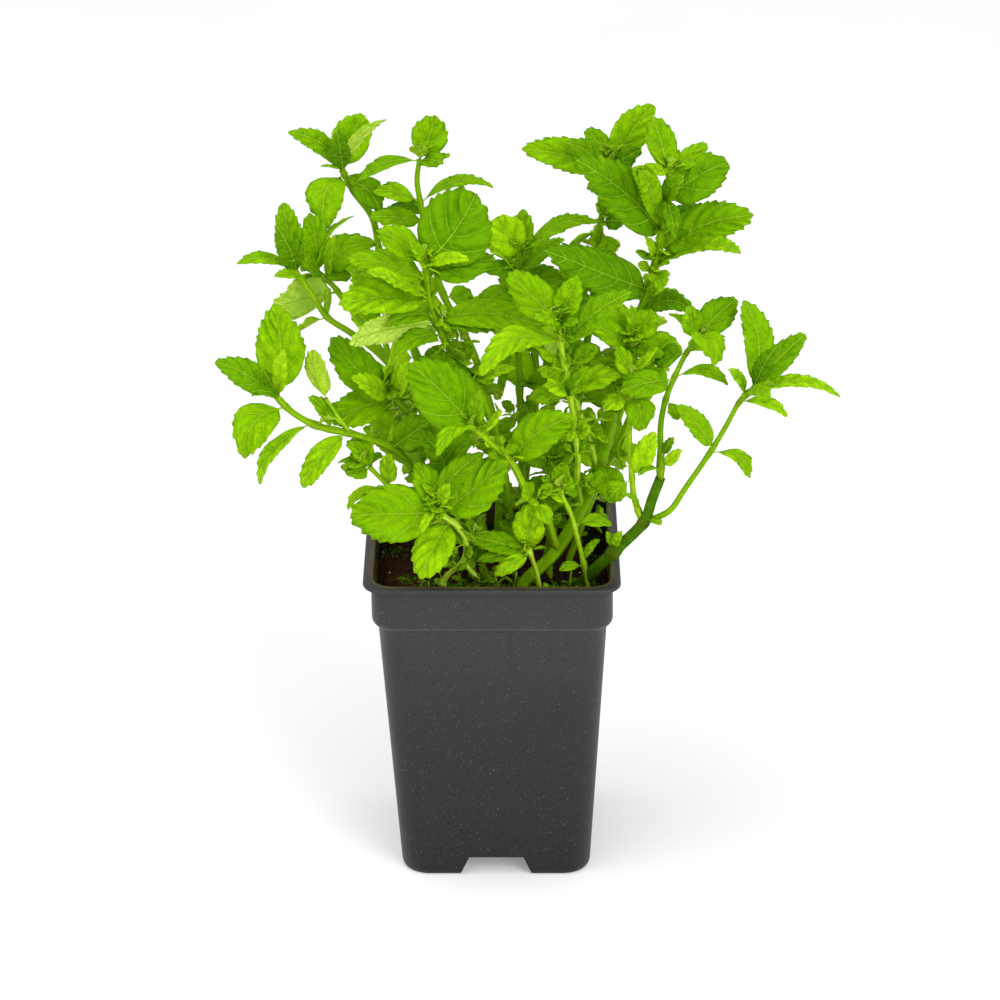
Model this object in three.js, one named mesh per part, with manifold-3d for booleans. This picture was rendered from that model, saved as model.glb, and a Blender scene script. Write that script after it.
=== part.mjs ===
// A potted spearmint: leafy stems in soil, in a square plastic nursery pot.
// Millimetres, +Z up, +X to the right from the front. The origin is the middle of the pot's underside.
import * as THREE from 'three';
import Module from 'manifold-3d';

const wasm = await Module();
wasm.setup();

// Driving dimensions of the pot
const POT_HEIGHT = 133;
const RIM_WIDTH = 101;
const RIM_RADIUS = 9.5;
const RIM_THICKNESS = 1.9;
const RIM_ROUNDING = 0.7;
const COLLAR_WIDTH = 94.8;
const COLLAR_DEPTH = 17.3;
const COLLAR_ROUNDING = 2.4;
const BODY_TOP_WIDTH = 90.4;
const BODY_FOOT_WIDTH = 76;
const BODY_RADIUS = 11;
const UNDERSIDE_WIDTH = 73;
const FOOT_ROUNDING = 2.6;
const FLOOR_WIDTH = 68;
const FLOOR_ROUNDING = 8.5;
const POT_LEAN = 1.7;
const WALL = 1.3;
const CORNER_STEPS = 4;

// Driving dimensions of the notches at the foot of each side, which run in as raised pockets
const NOTCH_WIDTH = 22;
const NOTCH_FOOT_WIDTH = 31;
const NOTCH_HEIGHT = 7.4;
const NOTCH_FLARE = 1.5;
const NOTCH_RUN = 20;
const SLOT_WIDTH = 12;
const SLOT_HEIGHT = 3.2;
const SLOT_FOOT = 2.4;

// Driving dimensions of the soil
const GAP = 0.3;
const SOIL_DEPTH = 15;
const SOIL_ROUGHNESS = 1.6;
const SOIL_RISE = 0.4;
const SOIL_CORNER_STEPS = 2;
const SOIL_RING_SHARES = [0.85, 0.68, 0.5, 0.32, 0.14];
const FOOT_SUNK = 9;
const FOOT_CLEAR = 1;

// Driving dimensions of the plant
const LEAF_THICKNESS = 1.1;
const STALK_LENGTH = 1.6;
const STALK_WIDTH = 1.7;
const TOOTH_SPACING = 5.2;
const FEWEST_TEETH = 2;
const MOST_TEETH = 6;
const TOOTH_LEAN = 0.68;
const TOOTH_OUT = 0.07;
const NOTCH_IN = 0.04;
const LEAF_FOLD = 0.16;
const LEAF_STEP = 1;
const RIB_BEND = 0.45;
const TIP_COVER = 0.9;
const STEM_STEP = 16;

// The plant is described as a viewer in front of it sees it, looking down on the rim at this angle from
// this distance: how far right and up of the middle of the rim a place looks, and how far back of the
// upright plane through the rim's middle it lies. The viewer looks at AIM.
const VIEW_ANGLE = THREE.MathUtils.degToRad(24);
const VIEW_DISTANCE = 1600;
const AIM_RIGHT = 3.2;
const AIM_UP = 14.8;

const viewUp = new THREE.Vector3(0, Math.sin(VIEW_ANGLE), Math.cos(VIEW_ANGLE));
const viewAway = new THREE.Vector3(0, Math.cos(VIEW_ANGLE), -Math.sin(VIEW_ANGLE));
const rimCentre = new THREE.Vector3(-POT_LEAN, 0, POT_HEIGHT);
const sky = new THREE.Vector3(0, 0, 1);
const { clamp, degToRad, lerp } = THREE.MathUtils;

// A place as seen by the viewer, in the pot's frame. What is further away looks smaller, so it is set wider.
function seen([right, up, back]) {
  const slope = Math.tan(VIEW_ANGLE);
  const away = (back / Math.cos(VIEW_ANGLE) - slope * up) / (1 + slope * (up - AIM_UP) / VIEW_DISTANCE);
  const spread = 1 + away / VIEW_DISTANCE;
  return rimCentre.clone()
    .add(new THREE.Vector3(AIM_RIGHT + (right - AIM_RIGHT) * spread, 0, 0))
    .addScaledVector(viewUp, AIM_UP + (up - AIM_UP) * spread)
    .addScaledVector(viewAway, away);
}

// A closed solid from points and triangles
function solid(points, triangles) {
  const vertProperties = new Float32Array(points.flatMap((p) => [p.x, p.y, p.z]));
  const triVerts = new Uint32Array(triangles.flat());
  return new wasm.Manifold(new wasm.Mesh({ numProp: 3, vertProperties, triVerts }));
}

// A solid skinned over a stack of rings with equal numbers of points, closed by a fan at each end
function skinned(rings) {
  const count = rings[0].length;
  const points = rings.flat();
  const triangles = [];
  for (let r = 0; r + 1 < rings.length; r++) {
    for (let i = 0; i < count; i++) {
      const a = r * count + i;
      const b = r * count + ((i + 1) % count);
      triangles.push([a, b, b + count], [a, b + count, a + count]);
    }
  }
  const last = (rings.length - 1) * count;
  for (let i = 1; i + 1 < count; i++) {
    triangles.push([0, i + 1, i], [last, last + i, last + i + 1]);
  }
  return solid(points, triangles);
}

// Solids grown together in one body. A hollow that the joining seals is filled.
function fused(parts) {
  const bodies = wasm.Manifold.union(parts).decompose();
  return bodies.reduce((largest, body) => (body.volume() > largest.volume() ? body : largest));
}

// A named mesh of a solid, in its own material
function meshOf(name, body, colour, roughness) {
  const { numProp, vertProperties, triVerts } = body.getMesh();
  const positions = new Float32Array((vertProperties.length / numProp) * 3);
  for (let i = 0; i < positions.length / 3; i++) {
    positions.set(vertProperties.subarray(i * numProp, i * numProp + 3), i * 3);
  }
  const geometry = new THREE.BufferGeometry();
  geometry.setAttribute('position', new THREE.BufferAttribute(positions, 3));
  geometry.setIndex(new THREE.BufferAttribute(triVerts, 1));
  geometry.computeVertexNormals();
  const mesh = new THREE.Mesh(geometry, new THREE.MeshStandardMaterial({ color: colour, roughness, metalness: 0 }));
  mesh.name = name;
  return mesh;
}

// A square ring with round corners, at one height. The pot leans a little, so each ring has its own middle.
function squareRing(width, radius, height, steps = CORNER_STEPS) {
  const ring = [];
  const middle = -POT_LEAN * height / POT_HEIGHT;
  const inset = width / 2 - radius;
  for (let corner = 0; corner < 4; corner++) {
    const start = corner * Math.PI / 2;
    const centre = new THREE.Vector2(inset, inset).rotateAround(new THREE.Vector2(), start);
    for (let step = 0; step <= steps; step++) {
      const angle = start + (step / steps) * Math.PI / 2;
      ring.push(new THREE.Vector3(
        middle + centre.x + radius * Math.cos(angle), centre.y + radius * Math.sin(angle), height));
    }
  }
  return ring;
}

// The body's width at a height, between its foot and the collar's step
const collarFoot = POT_HEIGHT - RIM_THICKNESS - COLLAR_DEPTH;
function bodyWidth(height) {
  return lerp(BODY_FOOT_WIDTH, BODY_TOP_WIDTH, height / collarFoot);
}

// One notch's hollow, or with grow the hollow and the wall over it, running in from one side of the foot
function pocket(side, grow) {
  const outer = BODY_FOOT_WIDTH / 2 + FOOT_ROUNDING;
  const inner = BODY_FOOT_WIDTH / 2 - NOTCH_RUN - grow;
  const foot = NOTCH_FOOT_WIDTH / 2 + grow;
  const waist = foot - NOTCH_FLARE;
  const top = NOTCH_WIDTH / 2 + grow;
  const roof = NOTCH_HEIGHT + grow;
  const outline = [[-foot, -WALL], [foot, -WALL], [waist, WALL], [top, roof], [-top, roof], [-waist, WALL]];
  const ring = (y) => outline
    .map(([x, z]) => new THREE.Vector3(x, y, z).applyAxisAngle(sky, side * Math.PI / 2));
  return skinned([ring(-inner), ring(-outer)]);
}

// A drain slot through the back wall of a pocket
function drainSlot(side) {
  const wallAt = BODY_FOOT_WIDTH / 2 - NOTCH_RUN;
  const ring = (z) => [[-1, -1], [1, -1], [1, 1], [-1, 1]].map(([x, y]) =>
    new THREE.Vector3(x * SLOT_WIDTH / 2, -(wallAt + y * 2 * WALL), z)
      .applyAxisAngle(sky, side * Math.PI / 2)).reverse();
  return skinned([ring(SLOT_FOOT), ring(SLOT_FOOT + SLOT_HEIGHT)]);
}

// The pot, moulded in one piece: flange, collar, tapered body and foot with a notch in each side
function potSolid() {
  const collarTop = POT_HEIGHT - RIM_THICKNESS;
  const insideRadius = RIM_RADIUS - WALL;
  const outside = skinned([
    squareRing(UNDERSIDE_WIDTH, BODY_RADIUS - 1, 0),
    squareRing(lerp(UNDERSIDE_WIDTH, BODY_FOOT_WIDTH, 0.6), BODY_RADIUS, FOOT_ROUNDING / 4),
    squareRing(bodyWidth(FOOT_ROUNDING), BODY_RADIUS, FOOT_ROUNDING),
    squareRing(BODY_TOP_WIDTH, BODY_RADIUS - 1, collarFoot - COLLAR_ROUNDING / 2),
    squareRing(COLLAR_WIDTH - COLLAR_ROUNDING, RIM_RADIUS, collarFoot - COLLAR_ROUNDING / 8),
    squareRing(COLLAR_WIDTH - COLLAR_ROUNDING / 4, RIM_RADIUS, collarFoot + COLLAR_ROUNDING / 2),
    squareRing(COLLAR_WIDTH, RIM_RADIUS, collarFoot + COLLAR_ROUNDING),
    squareRing(COLLAR_WIDTH, RIM_RADIUS, collarTop - RIM_ROUNDING),
    squareRing(RIM_WIDTH - RIM_ROUNDING, RIM_RADIUS, collarTop),
    squareRing(RIM_WIDTH, RIM_RADIUS, collarTop + RIM_ROUNDING),
    squareRing(RIM_WIDTH - RIM_ROUNDING / 2, RIM_RADIUS, POT_HEIGHT - RIM_ROUNDING / 2),
    squareRing(RIM_WIDTH - 2 * RIM_ROUNDING, RIM_RADIUS - RIM_ROUNDING, POT_HEIGHT),
  ]);
  let open = skinned([
    squareRing(FLOOR_WIDTH, BODY_RADIUS - 2, WALL),
    squareRing(bodyWidth(FLOOR_ROUNDING) - 2 * WALL, BODY_RADIUS - 1, FLOOR_ROUNDING),
    squareRing(BODY_TOP_WIDTH - 2 * WALL, BODY_RADIUS - 2, collarFoot - 1),
    squareRing(COLLAR_WIDTH - 2 * WALL, insideRadius, collarFoot + COLLAR_ROUNDING / 2),
    squareRing(COLLAR_WIDTH - 2 * WALL, insideRadius, POT_HEIGHT - RIM_ROUNDING),
    squareRing(COLLAR_WIDTH - 2 * WALL + 2 * RIM_ROUNDING, insideRadius, POT_HEIGHT + RIM_ROUNDING),
  ]);
  for (let side = 0; side < 4; side++) open = open.subtract(pocket(side, WALL));
  let body = outside.subtract(open);
  for (let side = 0; side < 4; side++) {
    body = body.subtract(pocket(side, 0)).subtract(drainSlot(side));
  }
  return body;
}

// A seeded draw between 0 and 1, the same on every run
function seeded(seed) {
  let state = seed;
  return () => {
    state = (state * 1664525 + 1013904223) % 4294967296;
    return state / 4294967296;
  };
}

// The soil fills the pot under a rough top, with a plain square hole for each stem's foot
function soilSolid(feet) {
  const draw = seeded(7);
  const top = POT_HEIGHT - SOIL_DEPTH;
  const clear = 2 * (WALL + GAP);
  const topWidth = COLLAR_WIDTH - clear;
  const bump = () => (draw() - 0.5) * 2 * SOIL_ROUGHNESS;
  const ringOf = (width, radius, height) => squareRing(width, radius, height, SOIL_CORNER_STEPS);
  const rings = [
    ringOf(FLOOR_WIDTH - 2 * GAP, BODY_RADIUS - 2, WALL + GAP),
    ringOf(bodyWidth(FLOOR_ROUNDING) - clear, BODY_RADIUS - 1, FLOOR_ROUNDING + GAP),
    ringOf(BODY_TOP_WIDTH - clear, BODY_RADIUS - 2, collarFoot - 1),
    ringOf(topWidth, RIM_RADIUS - WALL, collarFoot + COLLAR_ROUNDING / 2 + GAP),
    ringOf(topWidth, RIM_RADIUS - WALL, top - SOIL_RISE),
  ];
  for (const share of SOIL_RING_SHARES) {
    const ring = ringOf(topWidth * share, (RIM_RADIUS - WALL) * share, top + SOIL_RISE);
    ring.forEach((place) => { place.z += bump(); });
    rings.push(ring);
  }
  let body = skinned(rings);
  for (let side = 0; side < 4; side++) body = body.subtract(pocket(side, WALL + GAP));
  for (const { place, width } of feet) {
    const half = width / 2 + GAP;
    const ring = (z) => [[-1, -1], [1, -1], [1, 1], [-1, 1]]
      .map(([x, y]) => new THREE.Vector3(place.x + x * half, place.y + y * half, z));
    body = body.subtract(skinned([ring(top - FOOT_SUNK - GAP), ring(POT_HEIGHT)]));
  }
  return body;
}

// The places where a stem's straight lengths meet, along a smooth curve through its route
function stemPlaces(route) {
  const curve = new THREE.CatmullRomCurve3(route, false, 'centripetal');
  const shares = [];
  for (let span = 0; span + 1 < route.length; span++) {
    const steps = route[span].distanceTo(route[span + 1]) > STEM_STEP ? 2 : 1;
    for (let step = 0; step < steps; step++) shares.push((span + step / steps) / (route.length - 1));
  }
  shares.push(1);
  return { curve, shares, points: shares.map((t) => curve.getPoint(t)), length: curve.getLength() };
}

// A place inside a stem, at a share of its route
function placeOn(stem, share) {
  const { shares, points } = stem;
  let i = 0;
  while (i + 2 < shares.length && shares[i + 1] < share) i++;
  return points[i].clone().lerp(points[i + 1], (share - shares[i]) / (shares[i + 1] - shares[i]));
}

// A square mint stem, its width running from the first to the last of thick
function stemSolid(stem, thick, foot) {
  const { curve, shares, points } = stem;
  const rings = [];
  const turn = new THREE.Quaternion();
  let forward = foot ? sky.clone() : curve.getTangent(0);
  const across = new THREE.Vector3(1, 0, 0);
  across.addScaledVector(forward, -across.dot(forward)).normalize();
  const section = (centre, width) => {
    const other = forward.clone().cross(across);
    return [[-1, -1], [1, -1], [1, 1], [-1, 1]].map(([x, y]) =>
      centre.clone().addScaledVector(across, x * width / 2).addScaledVector(other, y * width / 2));
  };
  if (foot) rings.push(section(new THREE.Vector3(points[0].x, points[0].y, foot), thick[0]));
  shares.forEach((share, index) => {
    const next = foot && index === 0 ? sky.clone() : curve.getTangent(share);
    turn.setFromUnitVectors(forward, next);
    across.applyQuaternion(turn);
    forward = next;
    rings.push(section(points[index], lerp(thick[0], thick[1], share)));
  });
  return skinned(rings);
}

// How wide a spearmint leaf is at a share of its length: 1 at its widest, a little before the middle
function leafShape(share) {
  return Math.pow(share, 0.62) * Math.pow(1 - share, 0.82) / 0.4036;
}

// One toothed leaf from the stem to its tip. turn is how far its upper face is turned from the viewer to
// the sky, in degrees, and arch is how high it bows in the middle, as a share of its length. The blade is
// thick along its midrib and thins to its toothed edge.
function leafSolid(base, tip, width, turnDegrees, arch, stemWidth) {
  const along = tip.clone().sub(base);
  const length = along.length();
  along.normalize();
  const facing = viewAway.clone().negate();
  facing.addScaledVector(along, -facing.dot(along)).normalize();
  const over = along.clone().cross(facing);
  if (over.dot(sky) < 0) over.negate();
  const turn = degToRad(turnDegrees);
  const up = facing.clone().multiplyScalar(Math.cos(turn)).addScaledVector(over, Math.sin(turn));
  const side = up.clone().cross(along);

  const teeth = clamp(Math.round(length / TOOTH_SPACING), FEWEST_TEETH, MOST_TEETH);
  const bladeStart = (stemWidth / 2 + STALK_LENGTH) / length;
  const middle = lerp(bladeStart, 1, RIB_BEND);
  const points = [];
  const add = (share, out, rise) => {
    const lift = arch * length * 4 * share * (1 - share) + Math.abs(out) * LEAF_FOLD + rise;
    points.push(base.clone().addScaledVector(along, length * share)
      .addScaledVector(side, out).addScaledVector(up, lift));
    return points.length - 1;
  };
  const edge = (share, out) => {
    const index = add(share, out, 0);
    return { share, upper: index, lower: index };
  };
  const ribPoint = (share) => ({
    share,
    upper: add(share, 0, LEAF_THICKNESS / 2),
    lower: add(share, 0, -LEAF_THICKNESS / 2),
  });
  const first = edge(0, 0);
  const last = edge(1, 0);
  const rib = [first, ribPoint(bladeStart), ribPoint(middle), last];

  const triangles = [];
  for (const hand of [1, -1]) {
    const put = (a, b, c) => {
      if (a === b || b === c || a === c) return;
      triangles.push(hand > 0 ? [a, b, c] : [a, c, b]);
    };
    const half = (share) => leafShape(share) * width / 2;
    const margin = [first, edge(bladeStart, hand * STALK_WIDTH / 2)];
    for (let k = 0; k < teeth; k++) {
      const share = (k + TOOTH_LEAN) / teeth;
      const out = half(share) + width * TOOTH_OUT * (1 - share / 2);
      margin.push(edge(lerp(bladeStart, 1, share), hand * out));
      if (k + 1 < teeth) {
        const notch = (k + 1) / teeth;
        margin.push(edge(lerp(bladeStart, 1, notch), hand * (half(notch) - width * NOTCH_IN)));
      }
    }
    margin.push(last);
    stitch(rib, margin, 'upper', put);
    stitch(rib, margin, 'lower', (a, b, c) => put(a, c, b));
  }
  return solid(points, triangles);
}

// Triangles between the midrib and one margin, both running from the stem to the tip
function stitch(rib, margin, face, put) {
  let i = 0;
  let j = 0;
  while (i + 1 < rib.length || j + 1 < margin.length) {
    const ribNext = i + 1 < rib.length ? rib[i + 1].share : Infinity;
    const marginNext = j + 1 < margin.length ? margin[j + 1].share : Infinity;
    if (marginNext <= ribNext) {
      put(margin[j][face], rib[i][face], margin[j + 1][face]);
      j++;
    } else {
      put(rib[i][face], rib[i + 1][face], margin[j][face]);
      i++;
    }
  }
}

// The plant. Each node is a list of shoots grown together, the first of which stands in the soil. Each shoot
// has its width at the foot and at the tip, its route, and its leaves. A leaf's numbers are where it sits on
// the route, counted in route points, its tip as right, up and back, its width, its turn and its arch.
const plant = {
  stem_right_low: [
    {
      thick: [5, 4.4],
      route: [[36, -19, -15], [43.2, -11, -26], [49, -5.5, -31], [61, 6.5, -34], [64, 15, -34],
        [67.3, 23.5, -34]],
      leaves: [
        [1.9, 46, 2, -34, 4, 20, 0.1], [2, 51.5, 2, -38, 4, 20, 0.1],
        [3, 67.5, 5.5, -42, 3, 60, 0.1],
      ],
    },
    {
      thick: [2.3, 1.6],
      route: [[67.3, 22, -34], [67.5, 33, -32], [67.5, 45, -29], [69.5, 55, -27], [73, 64, -25],
        [78, 74, -22], [81.5, 84, -20]],
      leaves: [
        [0.4, 58.5, 25, -40, 5, 60, 0.2], [0.9, 72, 39.5, -38, 5, 30, 0],
        [0.6, 75, 34.5, -42, 5, 20, 0], [3, 75, 47, -34, 7, 30, 0.1],
        [4, 96, 64, -34, 10, 70, 0.12], [4, 52, 59, -36, 13, 30, 0.05],
        [5, 65, 72, -14, 11, 40, 0], [5, 90, 78, -8, 9, 40, 0.1], [6, 98, 95, -12, 15, 15, 0],
        [6, 92, 69, -40, 13, 45, 0.3], [6, 72, 90, -8, 9, 60, 0.1], [6, 82, 92, -24, 6, 30, 0],
      ],
    },
    {
      thick: [2.2, 1.6],
      route: [[61, 6, -34], [71, 10.5, -38], [77, 19, -38], [88, 35, -36], [94, 45, -34],
        [99, 54, -32], [105, 60, -31]],
      leaves: [
        [3, 74, 53, -42, 11, 20, 0.1], [3, 103.5, 24.5, -46, 9, 60, 0.3],
        [5.3, 92.5, 60.5, -44, 8, 70, 0.35], [5, 118.5, 49, -40, 8, 70, 0.25],
        [5.3, 111, 57, -56, 11, 60, 0.1], [6, 101.5, 94.5, -24, 12, 15, 0.05],
        [5.6, 102, 74, -34, 6, 30, 0], [6, 125.5, 81, -24, 12, 20, 0], [6, 112, 75, -48, 7, 30, 0],
        [5.6, 139.5, 57.5, -38, 10, 78, 0.17],
      ],
    },
    {
      thick: [2.2, 1.5],
      route: [[60, 6.5, -34], [56.8, 16, -33], [56, 24, -32], [55, 40, -28], [55.5, 57, -24],
        [56, 63, -23]],
      leaves: [
        [0.4, 52, 17.5, -40, 3, 60, 0.2], [2, 64.5, 41, -38, 9, 15, 0],
        [2, 45, 12, -34, 12, 15, 0.3], [4, 64, 43.5, -36, 14, 10, 0.15],
        [4, 44, 52, -30, 9, 40, 0.1], [5, 66.5, 76, -20, 7, 60, 0.1], [5, 50, 76, -26, 8, 30, 0],
      ],
    },
  ],
  stem_main: [
    {
      thick: [5.4, 4.8],
      route: [[13, -19.5, -15], [25, -6.5, -13], [36, 12, -9], [42, 27, -6], [46, 40, -4],
        [48.5, 51, -3]],
      leaves: [
        [3.8, 38, 46, -12, 6, 50, 0.1],
      ],
    },
    {
      thick: [2.4, 1.7],
      route: [[36, 12, -9], [34.3, 20, -14], [34.3, 33, -20], [33, 45, -26], [31, 57, -31],
        [29, 68, -34], [27.5, 78, -36], [26.5, 86, -37]],
      leaves: [
        [4, 21.5, 61, -40, 9, 40, 0.1], [4, 37, 68, -42, 7, 50, 0.1],
        [6, -4, 65.5, -62, 18, 45, 0.18], [6, 54, 98.5, -46, 12, 30, 0.05],
        [7, 7, 105.5, -42, 15, 5, 0.05], [7, 34, 104, -46, 10, 5, 0], [7, 18, 88, -54, 7, 40, 0.1],
        [6.7, 34, 86, -50, 7, 50, 0.1],
      ],
    },
    {
      thick: [2.2, 1.5],
      route: [[42, 28, -6], [38, 42, -11], [34, 53, -15], [31, 62, -18], [30, 70, -20]],
      leaves: [
        [2.6, 51, 65, -24, 11, 35, 0.1], [2.5, 15, 56, -12, 9, 30, 0.1],
        [3, 20, 66, -24, 8, 40, 0.1], [4, 42, 76, -22, 8, 30, 0], [4, 18, 78, -20, 9, 30, 0],
      ],
    },
    {
      thick: [3, 1.8],
      route: [[48.5, 49, -3], [49, 60, 4], [53, 75, 12], [58, 88, 14], [62, 98, 11], [65.5, 110, 6],
        [67.5, 121, -2], [69, 134, -3], [71, 146, -4]],
      leaves: [
        [3.2, 78.5, 93.5, -8, 11, 50, 0.15], [3, 42, 90, -6, 11, 30, 0.05],
        [4.5, 22, 115, -10, 21, 20, 0.1], [4.6, 71, 99.5, -8, 9, 10, 0.05],
        [4.8, 98.5, 114, -32, 11, 70, 0.1], [5.4, 104.5, 128.5, -6, 20, 15, 0.05],
        [6, 34.5, 150.5, -22, 22, 15, 0.08], [6, 87, 133, 14, 13, 20, 0.05],
        [6.9, 59, 147, -36, 12, 25, -0.05], [7, 94, 152, -4, 16, 10, 0.03],
        [8, 63.5, 167.5, 6, 13, 5, 0], [8, 86, 157.5, 2, 7, 20, 0], [8, 60, 146, -16, 7, 70, 0.1],
      ],
    },
    {
      thick: [2.8, 2],
      route: [[26, -5, -13], [21.5, 8, -22], [16, 14, -28], [8, 29.5, -36], [3, 34.5, -40],
        [-3, 40, -43], [-6.5, 43, -44]],
      leaves: [
        [3.1, 32, 47.5, -46, 17, 12, 0.05], [6, -32, 69, -46, 25, 5, 0.05],
        [5.6, -22, 32.5, -64, 11, 60, 0.25], [5.4, 3.8, 50.5, -50, 6, 60, 0],
        [6, -5.5, 57.5, -54, 7, 30, 0],
      ],
    },
  ],
  stem_back_right: [
    {
      thick: [3.2, 1.8],
      route: [[22, -10, 8], [28, 20, 14], [34, 50, 20], [39, 85, 24], [42, 110, 26], [43, 122, 26],
        [45, 136, 25], [48, 150, 24]],
      leaves: [
        [5.3, 52.5, 125, 18, 9, 20, 0.05], [5, 49, 114, 18, 8, 20, 0.05],
        [7, 13.5, 156.5, 14, 15, 22, 0.05], [7, 38, 163.5, 30, 8, 10, 0],
        [6.6, 31, 158, 4, 8, 35, 0.05], [7, 63, 172, 22, 17, 5, -0.03], [7, 58.5, 155, 12, 8, 20, 0],
        [4, 27, 99, 16, 13, 35, 0.1], [4, 58, 97, 36, 13, 40, 0.1], [3, 20, 78, 34, 12, 40, 0.1],
        [3, 58, 76, 38, 12, 40, 0.1],
      ],
    },
  ],
  stem_front_left: [
    {
      thick: [2.6, 2.2],
      route: [[-11, -19, -16], [-10.5, -9, -21], [-10, -2, -28], [-14, 4.5, -33], [-20, 9, -37],
        [-22.5, 12, -39]],
      leaves: [
        [4.2, -56, 8.5, -44, 22, 12, 0.06], [4, 6, 30.5, -44, 22, 8, 0.04],
        [3.4, -28.5, -16.5, -54, 16, 15, 0.1], [4.5, -30, 29.5, -34, 12, 10, 0],
        [4.6, -28, 2, -56, 5, 50, 0.1], [5, -17, 21, -48, 5, 30, 0],
        [2.6, -57.5, 10, -22, 9, 80, 0.35],
      ],
    },
  ],
  stem_left: [
    {
      thick: [3.4, 2],
      route: [[-14, -12, 3], [-20, 0, 0], [-27, 17, -4], [-34, 30, -8], [-40, 35.5, -11],
        [-55, 41, -15], [-70, 44.5, -18], [-80, 50, -20], [-87, 57, -21]],
      leaves: [
        [4, -25.5, 46, -18, 14, 10, 0.03], [5.2, -76, 20, -24, 12, 25, 0.05],
        [6.3, -69, 75.5, -26, 10, 150, 0], [6, -60, 48, -32, 9, 120, 0.1],
        [6.2, -93.5, 22, -36, 9, 72, 0.25], [7.3, -100, 32.5, -34, 19, 12, 0.08],
        [8, -110, 70.5, -24, 14, 20, 0.05], [8, -88, 93.5, -16, 19, 8, 0.03],
        [8, -86, 75, -36, 7, 25, 0], [8, -95.5, 58.5, -38, 6, 50, 0.1],
      ],
    },
    {
      thick: [2, 1.6],
      route: [[-21, 2, -1], [-33, 12, -8], [-41, 20, -12], [-49, 28, -15]],
      leaves: [
        [3, -58, 25.5, -22, 11, 30, 0.1], [3, -45, 34, -10, 7, 40, 0.1],
        [3, -61.5, 30.5, -12, 6, 60, 0.1], [2, -41, 33, -18, 8, 25, 0],
      ],
    },
  ],
  stem_upper_left: [
    {
      thick: [3.2, 1.9],
      route: [[-8, -8, 10], [-12, 10, 12], [-20, 32, 10], [-28, 50, 8], [-37, 64, 6], [-46, 74, 4],
        [-57, 82, 2], [-66, 88, 0], [-72, 97, -1], [-79, 107, -2]],
      leaves: [
        [7, -79, 81.5, -12, 8, 110, 0.2], [7, -66, 100, -6, 5, 120, 0],
        [9, -101.5, 110, -12, 9, 75, 0.22], [8.5, -86, 105, -18, 7, 60, 0.1],
        [9, -86.5, 122, -12, 13, 15, 0.03],
      ],
    },
    {
      thick: [2.2, 1.7],
      route: [[-38, 65, 6], [-48, 80, 10], [-58, 93, 10], [-64, 101, 9], [-69.5, 105.5, 8]],
      leaves: [
        [2.6, -85, 90, -6, 18, 130, 0.1], [3.5, -47, 118.5, 12, 16, 30, 0.2],
        [4, -72.5, 129, 6, 12, 20, 0], [3.4, -64.5, 120, -8, 6, 50, 0], [3.6, -77, 114, -8, 6, 40, 0],
        [4, -55.5, 128.5, 14, 5, 60, 0.2],
      ],
    },
  ],
  stem_mid_left: [
    {
      thick: [2.6, 1.9],
      route: [[-8, -13, -1], [-14, 10, -3], [-24, 36, -4], [-34, 50, -5], [-42, 58, -6]],
      leaves: [
        [4, -62, 79, -8, 18, 15, 0.05], [4, -38, 80, -4, 11, 70, 0],
        [3.6, -60, 45, -14, 14, 15, 0.05], [3, -47, 37, -2, 13, 25, 0.1],
        [4, -55, 64, -24, 10, 30, 0.05], [3.6, -34, 70, -20, 8, 40, 0],
        [2, -12, 45, 0, 12, 30, 0.1], [2, -36, 26, 8, 10, 40, 0.1],
      ],
    },
  ],
  stem_top_left: [
    {
      thick: [3.2, 1.9],
      route: [[-4, -8, 14], [-10, 20, 18], [-20, 45, 22], [-30, 72, 26], [-40, 96, 28],
        [-45, 114, 28], [-48, 128, 28], [-56, 139, 27], [-60, 147, 26]],
      leaves: [
        [7.7, -66.5, 124, 10, 17, 15, 0.25], [7.3, -42.5, 128, 12, 13, 15, 0.2],
        [8, -80.5, 161.5, 16, 12, 20, 0.05],
        [8, -55, 169, 28, 17, 5, 0], [8, -42.5, 167, 8, 9, 120, 0.05],
        [8, -61, 161, 12, 6, 20, 0], [5, -30, 108, 36, 10, 40, 0.1],
        [4, -56, 104, 34, 13, 40, 0.1], [4, -24, 92, 40, 12, 40, 0.1],
        [3, -44, 66, 38, 12, 40, 0.1],
      ],
    },
  ],
  stem_top_centre: [
    {
      thick: [3, 1.7],
      route: [[2, -8, 12], [3, 20, 12], [1, 45, 11], [-4, 63, 10], [-8, 75, 10], [-14, 86, 11],
        [-19.5, 97, 12], [-24, 112, 14], [-27, 126, 16], [-28.7, 134, 16], [-30, 143, 16],
        [-29, 151, 16]],
      leaves: [
        [9, -46.5, 138.5, 12, 10, 50, 0.05], [9, -0.5, 141.5, 14, 9, 78, 0.2],
        [11, -22.5, 168.5, 18, 17, 0, 0], [11, -53, 142, 10, 10, 68, 0.14],
        [11, -20, 150, 6, 8, 40, 0.1], [11, -17, 153, 12, 4, 70, 0],
        [8, -49, 129, 8, 12, 30, 0.05], [8, -8, 124, 30, 13, 40, 0.1],
        [6, -38, 104, 20, 12, 40, 0.1], [6, 2, 102, 24, 12, 30, 0.1],
      ],
    },
  ],
  stem_broad_leaf: [
    {
      thick: [3, 2.1],
      route: [[8, -12, 0], [7, 10, -4], [4, 30, -7], [-1, 48, -9], [-6.5, 61, -10], [-14, 69, -11],
        [-18, 77, -12], [-22, 86, -14], [-25, 95, -16], [-26, 104, -18], [-27, 110, -19]],
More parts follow.
